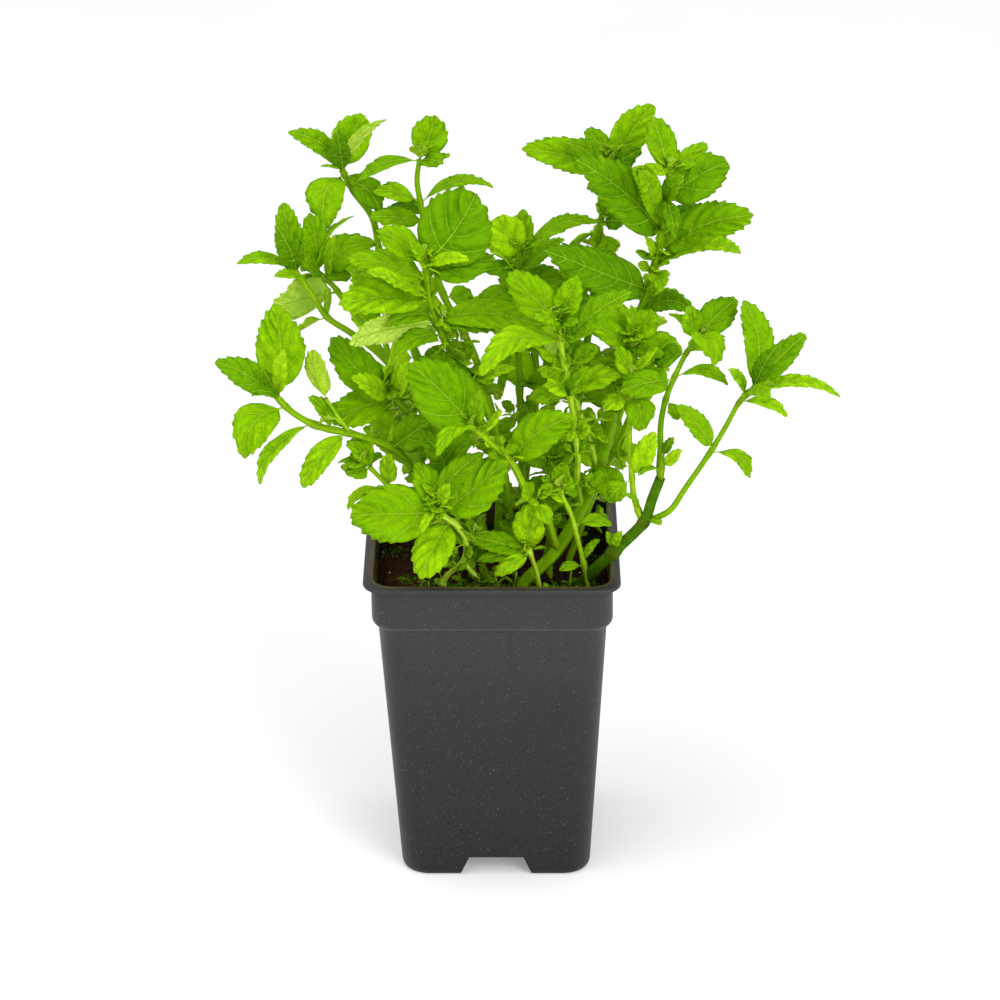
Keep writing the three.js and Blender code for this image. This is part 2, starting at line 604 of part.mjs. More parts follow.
      leaves: [
        [7.1, 17, 87, -24, 16, 35, 0.1], [7, -57.5, 79.5, -36, 15, 120, 0.2],
        [8.8, -57.5, 112.5, -20, 15, 40, 0.03], [8, -49.5, 106, -42, 12, 60, 0.03],
        [8, -61, 94, -26, 17, 35, 0.05], [10, -7, 138.5, -18, 27, 0, 0.03],
        [10, -45.5, 123, -22, 12, 20, 0.03], [9.6, 1, 115, -22, 12, 30, 0.05],
        [10, -11, 112, -36, 6, 30, 0], [10, -32, 118, -32, 5, 30, 0],
        [4, 14, 68, -16, 11, 40, 0.1], [4, -28, 72, -22, 10, 30, 0.1],
      ],
    },
  ],
  stem_centre_top: [
    {
      thick: [3, 1.8],
      route: [[12, -5, 20], [12, 30, 22], [11, 60, 22], [10, 85, 20], [10, 100, 18], [12, 112, 16]],
      leaves: [
        [5, -1, 127.5, 12, 16, 12, 0.03], [5, 12.5, 131.5, 20, 9, 10, 0],
        [5, 40.5, 128.5, 12, 9, 70, 0.12], [4.6, 26, 119.5, -6, 9, 40, 0],
        [4.6, -4, 106, 6, 11, 30, 0.05], [4, 28, 103, 6, 14, 35, 0.1],
        [4, -8, 98, 12, 10, 40, 0.1], [3, 34, 84, 10, 12, 40, 0.1], [2, 26, 62, 26, 12, 40, 0.1],
        [2, -4, 60, 22, 12, 40, 0.1],
      ],
    },
  ],
  stem_mid_right: [
    {
      thick: [2.8, 1.8],
      route: [[31, -11, 6], [42, 20, 8], [54, 45, 6], [58, 64, 0], [56, 78, -8]],
      leaves: [
        [4, 65, 90, -8, 12, 15, 0.03], [4, 40, 86, -14, 10, 20, 0.03], [4, 48, 95, -4, 9, 10, 0],
        [4, 68, 73, -18, 10, 30, 0.1], [4, 56, 92, -16, 7, 20, 0], [3, 40, 70, -10, 10, 35, 0.1],
        [3, 70, 62, -8, 11, 30, 0.1], [2, 62, 50, 10, 10, 40, 0.1],
      ],
    },
  ],
  stem_low_centre: [
    {
      thick: [2.4, 1.7],
      route: [[23, -14.5, -3], [23, 8, -5], [24, 22, -8], [24, 30, -10]],
      leaves: [
        [3, 12, 33, -16, 10, 25, 0.1], [3, 35, 35, -14, 11, 25, 0.1], [2, 15, 19, -16, 9, 30, 0.1],
        [2, 32, 19, -10, 9, 30, 0.1], [3, 24, 44, -10, 8, 20, 0],
      ],
    },
  ],
  stem_low_left: [
    {
      thick: [2.2, 1.6],
      route: [[-3, -15, -7], [-8, 4, -10], [-15, 20, -13], [-19, 29, -15]],
      leaves: [
        [3, -9, 39, -20, 11, 25, 0.1], [2.6, -29, 43, -27, 11, 25, 0.1],
        [2, -35, 24, -10, 9, 35, 0.1], [2, -2, 28, -22, 9, 35, 0.1], [3, -19, 42, -12, 8, 20, 0],
      ],
    },
  ],
  sprout_front: [
    {
      thick: [1.8, 1.5],
      route: [[19, -21.5, -21.5], [17.5, -13, -24], [14.5, -5, -26]],
      leaves: [
        [2, 18, 10, -30, 12, 10, 0.05], [1.9, 1.5, -15.5, -34, 6, 20, 0.1],
        [1.8, -9, -2, -28, 8, 20, 0.05],
      ],
    },
  ],
  sprout_right: [
    {
      thick: [1.8, 1.4],
      route: [[31, -21, -22], [31.5, -12, -25], [33, -2, -27], [33.5, 4, -28]],
      leaves: [
        [3, 47.5, 5, -30, 5, 60, 0.2], [3, 25, 12, -28, 5, 40, 0.1], [1, 43, -1, -24, 5, 40, 0.1],
        [1, 27, -13, -26, 5, 40, 0.1],
      ],
    },
  ],
  stem_back_middle: [
    {
      thick: [3, 1.8],
      route: [[12, -1, 30], [14, 30, 34], [18, 62, 38], [14, 92, 42], [10, 110, 44]],
      leaves: [
        [1, -12, 42, 32, 15, 35, 0.08], [1.2, 40, 40, 40, 15, 35, 0.08], [1.6, 16, 40, 66, 14, 70, 0.1],
        [2, -9, 76, 32, 17, 25, 0.08], [2.1, 44, 74, 40, 17, 25, 0.08], [2.4, 22, 66, 68, 15, 70, 0.1],
        [3, -15, 100, 44, 15, 30, 0.08], [3.1, 38, 104, 40, 14, 30, 0.08], [3.4, 8, 100, 70, 14, 70, 0.1],
        [4, -3, 121, 50, 9, 40, 0.05], [4, 22, 119, 52, 9, 40, 0.05],
      ],
    },
  ],
  stem_back_left: [
    {
      thick: [3, 1.8],
      route: [[-20, -1, 32], [-28, 28, 40], [-36, 56, 46], [-44, 82, 50], [-49, 102, 52]],
      leaves: [
        [1, -51, 44, 36, 15, 35, 0.08], [1.2, -8, 42, 46, 15, 40, 0.08], [1.6, -34, 34, 70, 14, 70, 0.1],
        [2, -60, 68, 42, 16, 25, 0.08], [2.1, -14, 66, 46, 16, 25, 0.08], [2.4, -38, 58, 74, 15, 70, 0.1],
        [3, -67, 92, 50, 14, 35, 0.08], [3.1, -22, 96, 48, 14, 30, 0.08], [3.4, -48, 84, 78, 14, 70, 0.1],
        [4, -62, 110, 56, 9, 40, 0.05], [4, -38, 112, 60, 9, 40, 0.05],
      ],
    },
  ],
  stem_back_low: [
    {
      thick: [3, 1.8],
      route: [[34, -1, 32], [44, 26, 40], [52, 52, 46], [58, 76, 50], [62, 94, 52]],
      leaves: [
        [1, 24, 40, 46, 15, 35, 0.08], [1.2, 66, 34, 40, 14, 40, 0.08], [1.6, 50, 30, 70, 14, 70, 0.1],
        [2, 30, 60, 54, 15, 25, 0.08], [2.1, 77, 58, 42, 13, 35, 0.08], [2.4, 56, 52, 74, 15, 70, 0.1],
        [3, 36, 86, 54, 14, 35, 0.08], [3.1, 82, 84, 48, 13, 35, 0.08], [3.4, 62, 78, 78, 14, 70, 0.1],
        [4, 50, 102, 58, 9, 40, 0.05], [4, 73, 103, 50, 9, 40, 0.05],
      ],
    },
  ],
};

// The solids of one shoot. The first shoot of a node has a straight foot, which stands in a hole in the soil.
const footEnd = POT_HEIGHT - SOIL_DEPTH - FOOT_SUNK;
const feet = [];

function shootSolids(shoot, standsInSoil) {
  const route = shoot.route.map(seen);
  if (standsInSoil) {
    route[0].z = Math.max(route[0].z, POT_HEIGHT - SOIL_DEPTH + SOIL_ROUGHNESS + FOOT_CLEAR);
    feet.push({ place: route[0], width: shoot.thick[0] });
  }
  const stem = stemPlaces(route);
  const parts = [stemSolid(stem, shoot.thick, standsInSoil ? footEnd : null)];
  const highest = 1 - TIP_COVER / stem.length;
  const crowd = {};
  for (const [at, right, up, back, width, turn, arch] of shoot.leaves) {
    // Leaves of one joint sit one below the other by a small step
    crowd[at] = (crowd[at] ?? -1) + 1;
    const share = at / (route.length - 1) - crowd[at] * LEAF_STEP / stem.length;
    const base = placeOn(stem, clamp(share, 0, highest));
    parts.push(leafSolid(base, seen([right, up, back]), width, turn, arch, shoot.thick[1]));
  }
  return parts;
}

// The whole plant in its pot: one mesh for the pot, one for each stem with its leaves, and the soil
const LEAF_COLOUR = 0x6fa41c;
const LEAF_ROUGHNESS = 0.6;
const POT_COLOUR = 0x454546;
const POT_ROUGHNESS = 0.5;
const SOIL_COLOUR = 0x2c1a10;
const SOIL_MATTNESS = 0.95;

const group = new THREE.Group();
group.add(meshOf('pot', potSolid(), POT_COLOUR, POT_ROUGHNESS));
for (const [name, shoots] of Object.entries(plant)) {
  const parts = shoots.flatMap((shoot, index) => shootSolids(shoot, index === 0));
  group.add(meshOf(name, fused(parts), LEAF_COLOUR, LEAF_ROUGHNESS));
}
group.add(meshOf('soil', soilSolid(feet), SOIL_COLOUR, SOIL_MATTNESS));

export default group;
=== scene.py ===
# A potted spearmint: leafy square stems that grow in soil, in a square plastic nursery pot.
# Sizes are in millimetres, and a mesh is brought to metres when it is finished.
import math
import random

import bmesh
import bpy
import numpy as np
from mathutils import Matrix, Vector, noise


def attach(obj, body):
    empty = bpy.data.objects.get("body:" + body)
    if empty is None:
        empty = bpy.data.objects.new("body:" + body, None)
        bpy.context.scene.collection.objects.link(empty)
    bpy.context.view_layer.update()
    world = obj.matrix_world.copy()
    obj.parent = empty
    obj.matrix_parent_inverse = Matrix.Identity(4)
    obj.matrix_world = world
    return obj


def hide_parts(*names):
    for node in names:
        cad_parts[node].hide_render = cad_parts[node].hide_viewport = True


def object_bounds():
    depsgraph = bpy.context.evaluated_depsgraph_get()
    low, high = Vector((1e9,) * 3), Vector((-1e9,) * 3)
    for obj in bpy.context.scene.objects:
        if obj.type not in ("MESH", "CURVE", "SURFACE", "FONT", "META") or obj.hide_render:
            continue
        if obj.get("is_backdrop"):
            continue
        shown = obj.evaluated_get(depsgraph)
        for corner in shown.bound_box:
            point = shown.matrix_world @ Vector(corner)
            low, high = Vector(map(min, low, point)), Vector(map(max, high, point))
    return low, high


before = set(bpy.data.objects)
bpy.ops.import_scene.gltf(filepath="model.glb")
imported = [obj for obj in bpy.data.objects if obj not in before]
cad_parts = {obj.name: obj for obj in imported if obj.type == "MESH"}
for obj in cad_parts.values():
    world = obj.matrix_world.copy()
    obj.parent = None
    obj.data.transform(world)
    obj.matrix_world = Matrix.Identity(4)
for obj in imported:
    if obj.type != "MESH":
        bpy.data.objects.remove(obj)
cad_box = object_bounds()


# The view: the pot stands before the camera, which looks down on its rim by 24 degrees through a long
# lens. Places on the plant are given as this view shows them: how far right and up of the middle of the
# rim, and how far back of the upright plane through it.
POT_HEIGHT = 133
POT_LEAN = 1.7
VIEW_ANGLE = math.radians(24)
VIEW_DISTANCE = 1600
AIM_RIGHT = 3.2
AIM_UP = 14.8
LENS = 144
FILM_WIDTH = 36

view_up = np.array((0, math.sin(VIEW_ANGLE), math.cos(VIEW_ANGLE)))
view_away = np.array((0, math.cos(VIEW_ANGLE), -math.sin(VIEW_ANGLE)))
rim_centre = np.array((-POT_LEAN, 0, POT_HEIGHT))
sky = np.array((0.0, 0.0, 1.0))


def seen(place):
    """A place in the pot's frame, from how far right, up and back it looks."""
    right, up, back = place
    slope = math.tan(VIEW_ANGLE)
    away = (back / math.cos(VIEW_ANGLE) - slope * up) / (1 + slope * (up - AIM_UP) / VIEW_DISTANCE)
    spread = 1 + away / VIEW_DISTANCE
    across = np.array((AIM_RIGHT + (right - AIM_RIGHT) * spread, 0, 0))
    return rim_centre + across + view_up * (AIM_UP + (up - AIM_UP) * spread) + view_away * away


aim = rim_centre + np.array((AIM_RIGHT, 0, 0)) + view_up * AIM_UP
lens = bpy.data.cameras.new("camera")
lens.lens = LENS
lens.sensor_width = FILM_WIDTH
lens.clip_end = 20
camera = bpy.data.objects.new("camera", lens)
camera.location = (aim - view_away * VIEW_DISTANCE) / 1000
camera.rotation_euler = (math.pi / 2 - VIEW_ANGLE, 0, 0)
bpy.context.scene.collection.objects.link(camera)
bpy.context.scene.camera = camera
bpy.context.scene.view_settings.view_transform = "Standard"


# The stage: a plain white table, lit a little from inside, in a pale room. One large soft lamp hangs high at
# the left, so that the shadow falls softly to the right, and a weaker one stands at the right in front. Each
# lamp has its place, the width of its disc and its power in watts.
FLOOR_SIZE = 6000
FLOOR_COLOUR = 0xD8D8D8
FLOOR_CLOUD = 250
FLOOR_GLOW = 0.23
ROOM_COLOUR = 0xFFFFFF
ROOM_STRENGTH = 0.88
LAMPS = {
    "key": ((-950, -500, 1750), 2600, 20),
    "front": ((750, -1300, 1000), 900, 15),
}


def linear(colour):
    """A colour's linear red, green, blue and alpha, from its sRGB hex value."""
    shares = [(colour >> shift & 255) / 255 for shift in (16, 8, 0)]
    return tuple(s / 12.92 if s <= 0.04045 else ((s + 0.055) / 1.055) ** 2.4 for s in shares) + (1.0,)


def feed(tree, node, **links):
    """Gives a node's inputs links or values, each by its name, with _ for a space, or by number as i0."""
    for name, value in links.items():
        numbered = name[0] == "i" and name[1:].isdigit()
        socket = node.inputs[int(name[1:]) if numbered else name.replace("_", " ")]
        if isinstance(value, bpy.types.NodeSocket):
            tree.links.new(value, socket)
        else:
            socket.default_value = value


def add(tree, kind, settings=None, **links):
    """Adds a node with its settings, and with the links and values that feed gives it."""
    made = tree.nodes.new("ShaderNode" + kind)
    for name, value in (settings or {}).items():
        setattr(made, name, value)
    feed(tree, made, **links)
    return made


def material(name, colour):
    """A new material, its node tree and its shader, with the colour that a plain view shows."""
    made = bpy.data.materials.new(name)
    made.use_nodes = True
    made.diffuse_color = linear(colour)
    shader = made.node_tree.nodes["Principled BSDF"]
    feed(made.node_tree, shader, Base_Color=linear(colour))
    return made, made.node_tree, shader


def ramp(tree, share, stops):
    """A colour ramp's colour, from a share and its stops of place and colour."""
    made = add(tree, "ValToRGB", i0=share)
    elements = made.color_ramp.elements
    while len(elements) < len(stops):
        elements.new(0.5)
    for element, (place, colour) in zip(elements, stops):
        element.position = place
        element.color = linear(colour)
    return made.outputs["Color"]


def clouded(name, colour, cloud_size, detail, stops, **finish):
    """A material whose colour drifts between its stops in clouds, their size given in millimetres."""
    made, tree, shader = material(name, colour)
    place = add(tree, "TexCoord").outputs["Object"]
    cloud = add(tree, "TexNoise", Vector=place, Scale=1000 / cloud_size, Detail=detail).outputs[0]
    feed(tree, shader, Base_Color=ramp(tree, cloud, stops), **finish)
    return made


def piece(name, shape, materials):
    """A mesh object of a shape modelled in millimetres, in metres."""
    bmesh.ops.scale(shape, vec=(0.001, 0.001, 0.001), verts=shape.verts)
    mesh = bpy.data.meshes.new(name)
    shape.to_mesh(mesh)
    shape.free()
    for one in materials:
        mesh.materials.append(one)
    made = bpy.data.objects.new(name, mesh)
    bpy.context.scene.collection.objects.link(made)
    return made


# White acrylic of a light table: matt and pale, with a soft glow of its own that keeps shadows light.
white_acrylic = clouded("white_acrylic", FLOOR_COLOUR, FLOOR_CLOUD, 2.0, [(0.3, 0xD6D6D6), (0.7, 0xDADADA)],
                        Roughness=0.9, Specular_IOR_Level=0.1, Emission_Color=linear(0xFFFFFF),
                        Emission_Strength=FLOOR_GLOW)
shape = bmesh.new()
bmesh.ops.create_grid(shape, x_segments=1, y_segments=1, size=FLOOR_SIZE / 2)
floor = piece("floor", shape, [white_acrylic])
floor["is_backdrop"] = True

room = bpy.data.worlds.new("room")
room.use_nodes = True
feed(room.node_tree, room.node_tree.nodes["Background"], Color=linear(ROOM_COLOUR), Strength=ROOM_STRENGTH)
bpy.context.scene.world = room
for name, (place, size, power) in LAMPS.items():
    lamp = bpy.data.lights.new(name, "AREA")
    lamp.shape = "DISK"
    lamp.size = size / 1000
    lamp.energy = power
    stand = bpy.data.objects.new(name, lamp)
    stand.location = Vector(place) / 1000
    stand.rotation_euler = (Vector(aim / 1000) - stand.location).to_track_quat("-Z", "Y").to_euler()
    bpy.context.scene.collection.objects.link(stand)


# The pot: one moulding of dark recycled polypropylene. A rolled flange runs round its top, a deep collar
# steps in to the tapered body, and the foot has a notch in each side that runs in as a raised pocket with a
# drain slot. It leans a little, so each ring of it has its own middle.
RIM_WIDTH = 101
RIM_RADIUS = 9.5
RIM_THICKNESS = 1.9
RIM_ROUNDING = 0.7
COLLAR_WIDTH = 94.8
COLLAR_DEPTH = 17.3
COLLAR_ROUNDING = 2.4
BODY_TOP_WIDTH = 90.4
BODY_FOOT_WIDTH = 76
BODY_RADIUS = 11
UNDERSIDE_WIDTH = 73
FOOT_ROUNDING = 2.6
FLOOR_WIDTH = 68
FLOOR_ROUNDING = 8.5
WALL = 1.3
NOTCH_WIDTH = 22
NOTCH_FOOT_WIDTH = 31
NOTCH_HEIGHT = 8.3
NOTCH_FLARE = 1.5
NOTCH_RUN = 20
NOTCH_ROUNDING = 1.3
SLOT_WIDTH = 12
SLOT_HEIGHT = 3.2
SLOT_FOOT = 2.4
CORNER_STEPS = 10
SIDE_STEPS = 8
BODY_RINGS = 12
DENT_HEIGHT = 40
DENT_DEPTH = 0.9
DENT_REACH = 16
SAG = 0.35
SAG_RISE = 20
SHARP_ANGLE = 35

collar_top = POT_HEIGHT - RIM_THICKNESS
collar_foot = collar_top - COLLAR_DEPTH


def mix(low, high, share):
    return low + (high - low) * share


def body_width(height):
    return mix(BODY_FOOT_WIDTH, BODY_TOP_WIDTH, height / collar_foot)


def square_ring(shape, width, radius, height, sag=0.0):
    """A loop of edges: a square with round corners. Its sides sag in, and the right one is dented."""
    step = CORNER_STEPS + SIDE_STEPS
    made = bmesh.ops.create_circle(shape, segments=4 * step, radius=1)["verts"]
    inset = width / 2 - radius
    middle = -POT_LEAN * height / POT_HEIGHT
    dent = DENT_DEPTH * math.exp(-((height - DENT_HEIGHT) / DENT_REACH) ** 2) if sag else 0
    for number, vertex in enumerate(made):
        quarter, part = divmod(number, step)
        along = max(part - CORNER_STEPS, 0) / SIDE_STEPS
        angle = math.pi / 2 * min(part / CORNER_STEPS, 1)
        x = inset + radius * math.cos(angle) - 2 * inset * along
        y = inset + radius * math.sin(angle)
        bow = math.sin(math.pi * along)
        y -= bow * (sag + (dent if quarter == 3 else 0))
        turn = math.pi / 2 * quarter
        vertex.co = (middle + x * math.cos(turn) - y * math.sin(turn),
                     x * math.sin(turn) + y * math.cos(turn), height)
    return made


def skin(shape, loops):
    """Bridges a stack of loops and closes its two ends."""
    for neighbours in zip(loops, loops[1:]):
        edges = [edge for loop in neighbours for vertex in loop for edge in vertex.link_edges
                 if edge.other_vert(vertex) in loop]
        bmesh.ops.bridge_loops(shape, edges=list(set(edges)))
    for loop in (loops[0], loops[-1]):
        bmesh.ops.contextual_create(shape, geom=loop)
    bmesh.ops.recalc_face_normals(shape, faces=shape.faces)


def loft(rings):
    """A closed shape through rings of width, corner radius, height and sag."""
    shape = bmesh.new()
    skin(shape, [square_ring(shape, *ring) for ring in rings])
    return shape


def pocket(side, grow):
    """One notch's hollow, or with grow the hollow and the wall over it, its upper edges rounded."""
    foot = NOTCH_FOOT_WIDTH / 2 + grow
    waist = foot - NOTCH_FLARE
    top = NOTCH_WIDTH / 2 + grow
    roof = NOTCH_HEIGHT + grow
    outline = [(-foot, -WALL), (foot, -WALL), (waist, WALL), (top, roof), (-top, roof), (-waist, WALL)]
    shape = bmesh.new()
    loops = []
    for depth in (BODY_FOOT_WIDTH / 2 - NOTCH_RUN - grow, BODY_FOOT_WIDTH / 2 + FOOT_ROUNDING):
        loop = bmesh.ops.create_circle(shape, segments=len(outline), radius=1)["verts"]
        for vertex, (x, z) in zip(loop, outline):
            vertex.co = (x, -depth, z)
        loops.append(loop)
    skin(shape, loops)
    upper = []
    for edge in shape.edges:
        one, other = [vertex.co for vertex in edge.verts]
        if one.z == other.z == roof and one.x == other.x:
            upper.append(edge)
    bmesh.ops.bevel(shape, geom=upper, offset=NOTCH_ROUNDING, segments=3, profile=0.5, affect="EDGES",
                    material=-1)
    bmesh.ops.rotate(shape, matrix=Matrix.Rotation(side * math.pi / 2, 3, "Z"), verts=shape.verts)
    return shape


def carve(body, cutter_shape):
    """Cuts a shape out of a piece for good."""
    cutter = piece("cutter", cutter_shape, [])
    change = body.modifiers.new("cut", "BOOLEAN")
    change.object = cutter
    change.solver = "EXACT"
    view = bpy.context.evaluated_depsgraph_get()
    mesh = bpy.data.meshes.new_from_object(body.evaluated_get(view))
    body.modifiers.clear()
    body.data = mesh
    bpy.data.objects.remove(cutter)


def smooth(body, sharp_degrees):
    """Shades a piece smooth but for its sharp edges."""
    body.data.polygons.foreach_set("use_smooth", [True] * len(body.data.polygons))
    body.data.set_sharp_from_angle(angle=math.radians(sharp_degrees))


# Recycled polypropylene, moulded in a finely etched tool: dark grey and satin, with pale dust in its grain
# and small light flecks of regrind. Painted shade makes the grey darker at the foot and paler at the top.
# A painted highlight lies as a pale band round the collar's foot, and the flange and the collar's inner
# side are tinted brown-green.
CLOUD_SIZE = 22.2
GRAIN = 0.5
GRAIN_DEPTH = 0.2
RIPPLE_SPACING = 33.3
FLECK_SPACING = 0.72
FLECK_SIZE = 0.18
FLECK_TURN = (0.5, 0.9, 0.4)
COLLAR_HIGHLIGHT_HEIGHT = 1.1
TINT_EDGE = 48.6
TINT_FADE = 0.8
TINT_ON_FLANGE = 0.6
TINT_INSIDE = (46.46, 46.56)
TINT_RISE = (3, 5)
SQUARENESS = 10.0
plastic, tree, shader = material("moulded_recycled_polypropylene", 0x3C3C3D)
place = add(tree, "TexCoord").outputs["Object"]
height = add(tree, "SeparateXYZ", Vector=place).outputs["Z"]
# Painted shade: the grey grows paler with height, from the foot up to the rim.
share = add(tree, "Math", {"operation": "DIVIDE"}, i0=height, i1=POT_HEIGHT / 1000).outputs[0]
cloud = add(tree, "TexNoise", Vector=place, Scale=1000 / CLOUD_SIZE, Detail=4.0).outputs[0]
shade = add(tree, "Math", {"operation": "MULTIPLY_ADD"}, i0=cloud, i1=0.25, i2=share).outputs[0]
shaded_grey = ramp(tree, shade, [(0.1, 0x131313), (0.6, 0x1F1F20), (1.0, 0x2C2C2D)])

# The flecks are drawn out upwards, and differ in how bright they are.
drawn = add(tree, "Mapping", Vector=place, Scale=(1.0, 1.0, 0.5)).outputs[0]
drawn = add(tree, "Mapping", Vector=drawn, Rotation=FLECK_TURN).outputs[0]
flecks = add(tree, "TexVoronoi", Vector=drawn, Scale=1000 / FLECK_SPACING)
near = add(tree, "MapRange", Value=flecks.outputs["Distance"], From_Min=0.1,
           From_Max=FLECK_SIZE / FLECK_SPACING, To_Min=1.0, To_Max=0.0).outputs[0]
luck = add(tree, "SeparateXYZ", Vector=flecks.outputs["Color"]).outputs["X"]
luck = add(tree, "Math", {"operation": "POWER"}, i0=luck, i1=3.0).outputs[0]
bright = add(tree, "Math", {"operation": "MULTIPLY"}, i0=near, i1=luck).outputs[0]
flecked = add(tree, "Mix", {"data_type": "RGBA"}, i0=bright, i6=shaded_grey, i7=linear(0x6C6C6A)).outputs[2]

# A painted highlight is a pale band round the collar's foot.
aside = add(tree, "Math", {"operation": "SUBTRACT"}, i0=height,
            i1=(collar_foot + COLLAR_HIGHLIGHT_HEIGHT / 3) / 1000).outputs[0]
aside = add(tree, "Math", {"operation": "ABSOLUTE"}, i0=aside).outputs[0]
collar_highlight = add(tree, "MapRange", Value=aside, From_Max=COLLAR_HIGHLIGHT_HEIGHT / 1000, To_Min=0.5, To_Max=0.0).outputs[0]
highlighted = add(tree, "Mix", {"data_type": "RGBA"}, i0=collar_highlight, i6=flecked, i7=linear(0x4E4E4E)).outputs[2]

# The brown-green tint fades at a rounded square just inside the flange's edge. It lies on the flange and,
# below it, on the collar's inner side.
centred = add(tree, "VectorMath", i0=place, i1=(POT_LEAN / 1000, 0, 0)).outputs[0]
centred = add(tree, "VectorMath", {"operation": "ABSOLUTE"}, i0=centred).outputs[0]
centred = add(tree, "VectorMath", {"operation": "SCALE"}, i0=centred, Scale=1000 / TINT_EDGE).outputs[0]
centred = add(tree, "SeparateXYZ", Vector=centred)
powers = [add(tree, "Math", {"operation": "POWER"}, i0=centred.outputs[axis], i1=SQUARENESS).outputs[0]
          for axis in ("X", "Y")]
reach = add(tree, "Math", i0=powers[0], i1=powers[1]).outputs[0]
reach = add(tree, "Math", {"operation": "POWER"}, i0=reach, i1=1 / SQUARENESS).outputs[0]
tint = add(tree, "MapRange", Value=reach, From_Min=1 - TINT_FADE / TINT_EDGE, To_Min=0.85,
           To_Max=0.0).outputs[0]
high = add(tree, "MapRange", Value=height, From_Min=(collar_top - TINT_ON_FLANGE) / 1000,
           From_Max=collar_top / 1000).outputs[0]
inner = add(tree, "MapRange", Value=reach, From_Min=TINT_INSIDE[0] / TINT_EDGE,
            From_Max=TINT_INSIDE[1] / TINT_EDGE, To_Min=1.0, To_Max=0.0).outputs[0]
upper = add(tree, "MapRange", Value=height, From_Min=(collar_foot + TINT_RISE[0]) / 1000,
            From_Max=(collar_foot + TINT_RISE[1]) / 1000).outputs[0]
inner = add(tree, "Math", {"operation": "MULTIPLY"}, i0=inner, i1=upper).outputs[0]
covered = add(tree, "Math", {"operation": "MAXIMUM"}, i0=high, i1=inner).outputs[0]
tint = add(tree, "Math", {"operation": "MULTIPLY"}, i0=tint, i1=covered).outputs[0]
brown_green = ramp(tree, cloud, [(0.4, 0x462A14), (0.62, 0x50500F)])
finish = add(tree, "Mix", {"data_type": "RGBA"}, i0=tint, i6=highlighted, i7=brown_green).outputs[2]

# The relief is the tool's etching, over walls that ripple a little.
etch = add(tree, "TexNoise", Vector=place, Scale=1000 / GRAIN, Detail=2.0).outputs[0]
ripple = add(tree, "TexNoise", Vector=place, Scale=1000 / RIPPLE_SPACING).outputs[0]
relief = add(tree, "Math", {"operation": "MULTIPLY_ADD"}, i0=ripple, i1=3.0, i2=etch).outputs[0]
bump = add(tree, "Bump", Strength=0.25, Distance=GRAIN_DEPTH / 1000, Height=relief).outputs[0]
rough = add(tree, "MapRange", Value=cloud, To_Min=0.38, To_Max=0.52).outputs[0]
feed(tree, shader, Base_Color=finish, Roughness=rough, Specular_IOR_Level=0.3, Normal=bump)

body_heights = [mix(FOOT_ROUNDING, collar_foot - COLLAR_ROUNDING, number / BODY_RINGS)
                for number in range(BODY_RINGS + 1)]
outside = [
    (UNDERSIDE_WIDTH, BODY_RADIUS - 1, 0),
    (mix(UNDERSIDE_WIDTH, BODY_FOOT_WIDTH, 0.45), BODY_RADIUS - 0.5, FOOT_ROUNDING * 0.13),
    (mix(UNDERSIDE_WIDTH, BODY_FOOT_WIDTH, 0.8), BODY_RADIUS, FOOT_ROUNDING * 0.4),
    *[(body_width(h), BODY_RADIUS, h, SAG * min((h - FOOT_ROUNDING) / SAG_RISE, 1)) for h in body_heights],
    (BODY_TOP_WIDTH, BODY_RADIUS - 1, collar_foot - COLLAR_ROUNDING / 2),
    (COLLAR_WIDTH - COLLAR_ROUNDING * 1.25, RIM_RADIUS, collar_foot - COLLAR_ROUNDING / 4),
    (COLLAR_WIDTH - COLLAR_ROUNDING * 0.7, RIM_RADIUS, collar_foot),
    (COLLAR_WIDTH - COLLAR_ROUNDING * 0.25, RIM_RADIUS, collar_foot + COLLAR_ROUNDING * 0.45),
    (COLLAR_WIDTH, RIM_RADIUS, collar_foot + COLLAR_ROUNDING),
    (COLLAR_WIDTH, RIM_RADIUS, (collar_foot + collar_top) / 2, SAG / 2),
    (COLLAR_WIDTH, RIM_RADIUS, collar_top - RIM_ROUNDING),
    (COLLAR_WIDTH + RIM_ROUNDING, RIM_RADIUS, collar_top - RIM_ROUNDING * 0.2),
    (RIM_WIDTH - RIM_ROUNDING, RIM_RADIUS, collar_top),
    (RIM_WIDTH - RIM_ROUNDING * 0.2, RIM_RADIUS, collar_top + RIM_ROUNDING * 0.4),
    (RIM_WIDTH, RIM_RADIUS, collar_top + RIM_ROUNDING),
    (RIM_WIDTH - RIM_ROUNDING * 0.2, RIM_RADIUS, POT_HEIGHT - RIM_ROUNDING * 0.7),
    (RIM_WIDTH - RIM_ROUNDING * 0.8, RIM_RADIUS, POT_HEIGHT - RIM_ROUNDING * 0.2),
    (RIM_WIDTH - RIM_ROUNDING * 2, RIM_RADIUS - RIM_ROUNDING, POT_HEIGHT),
]
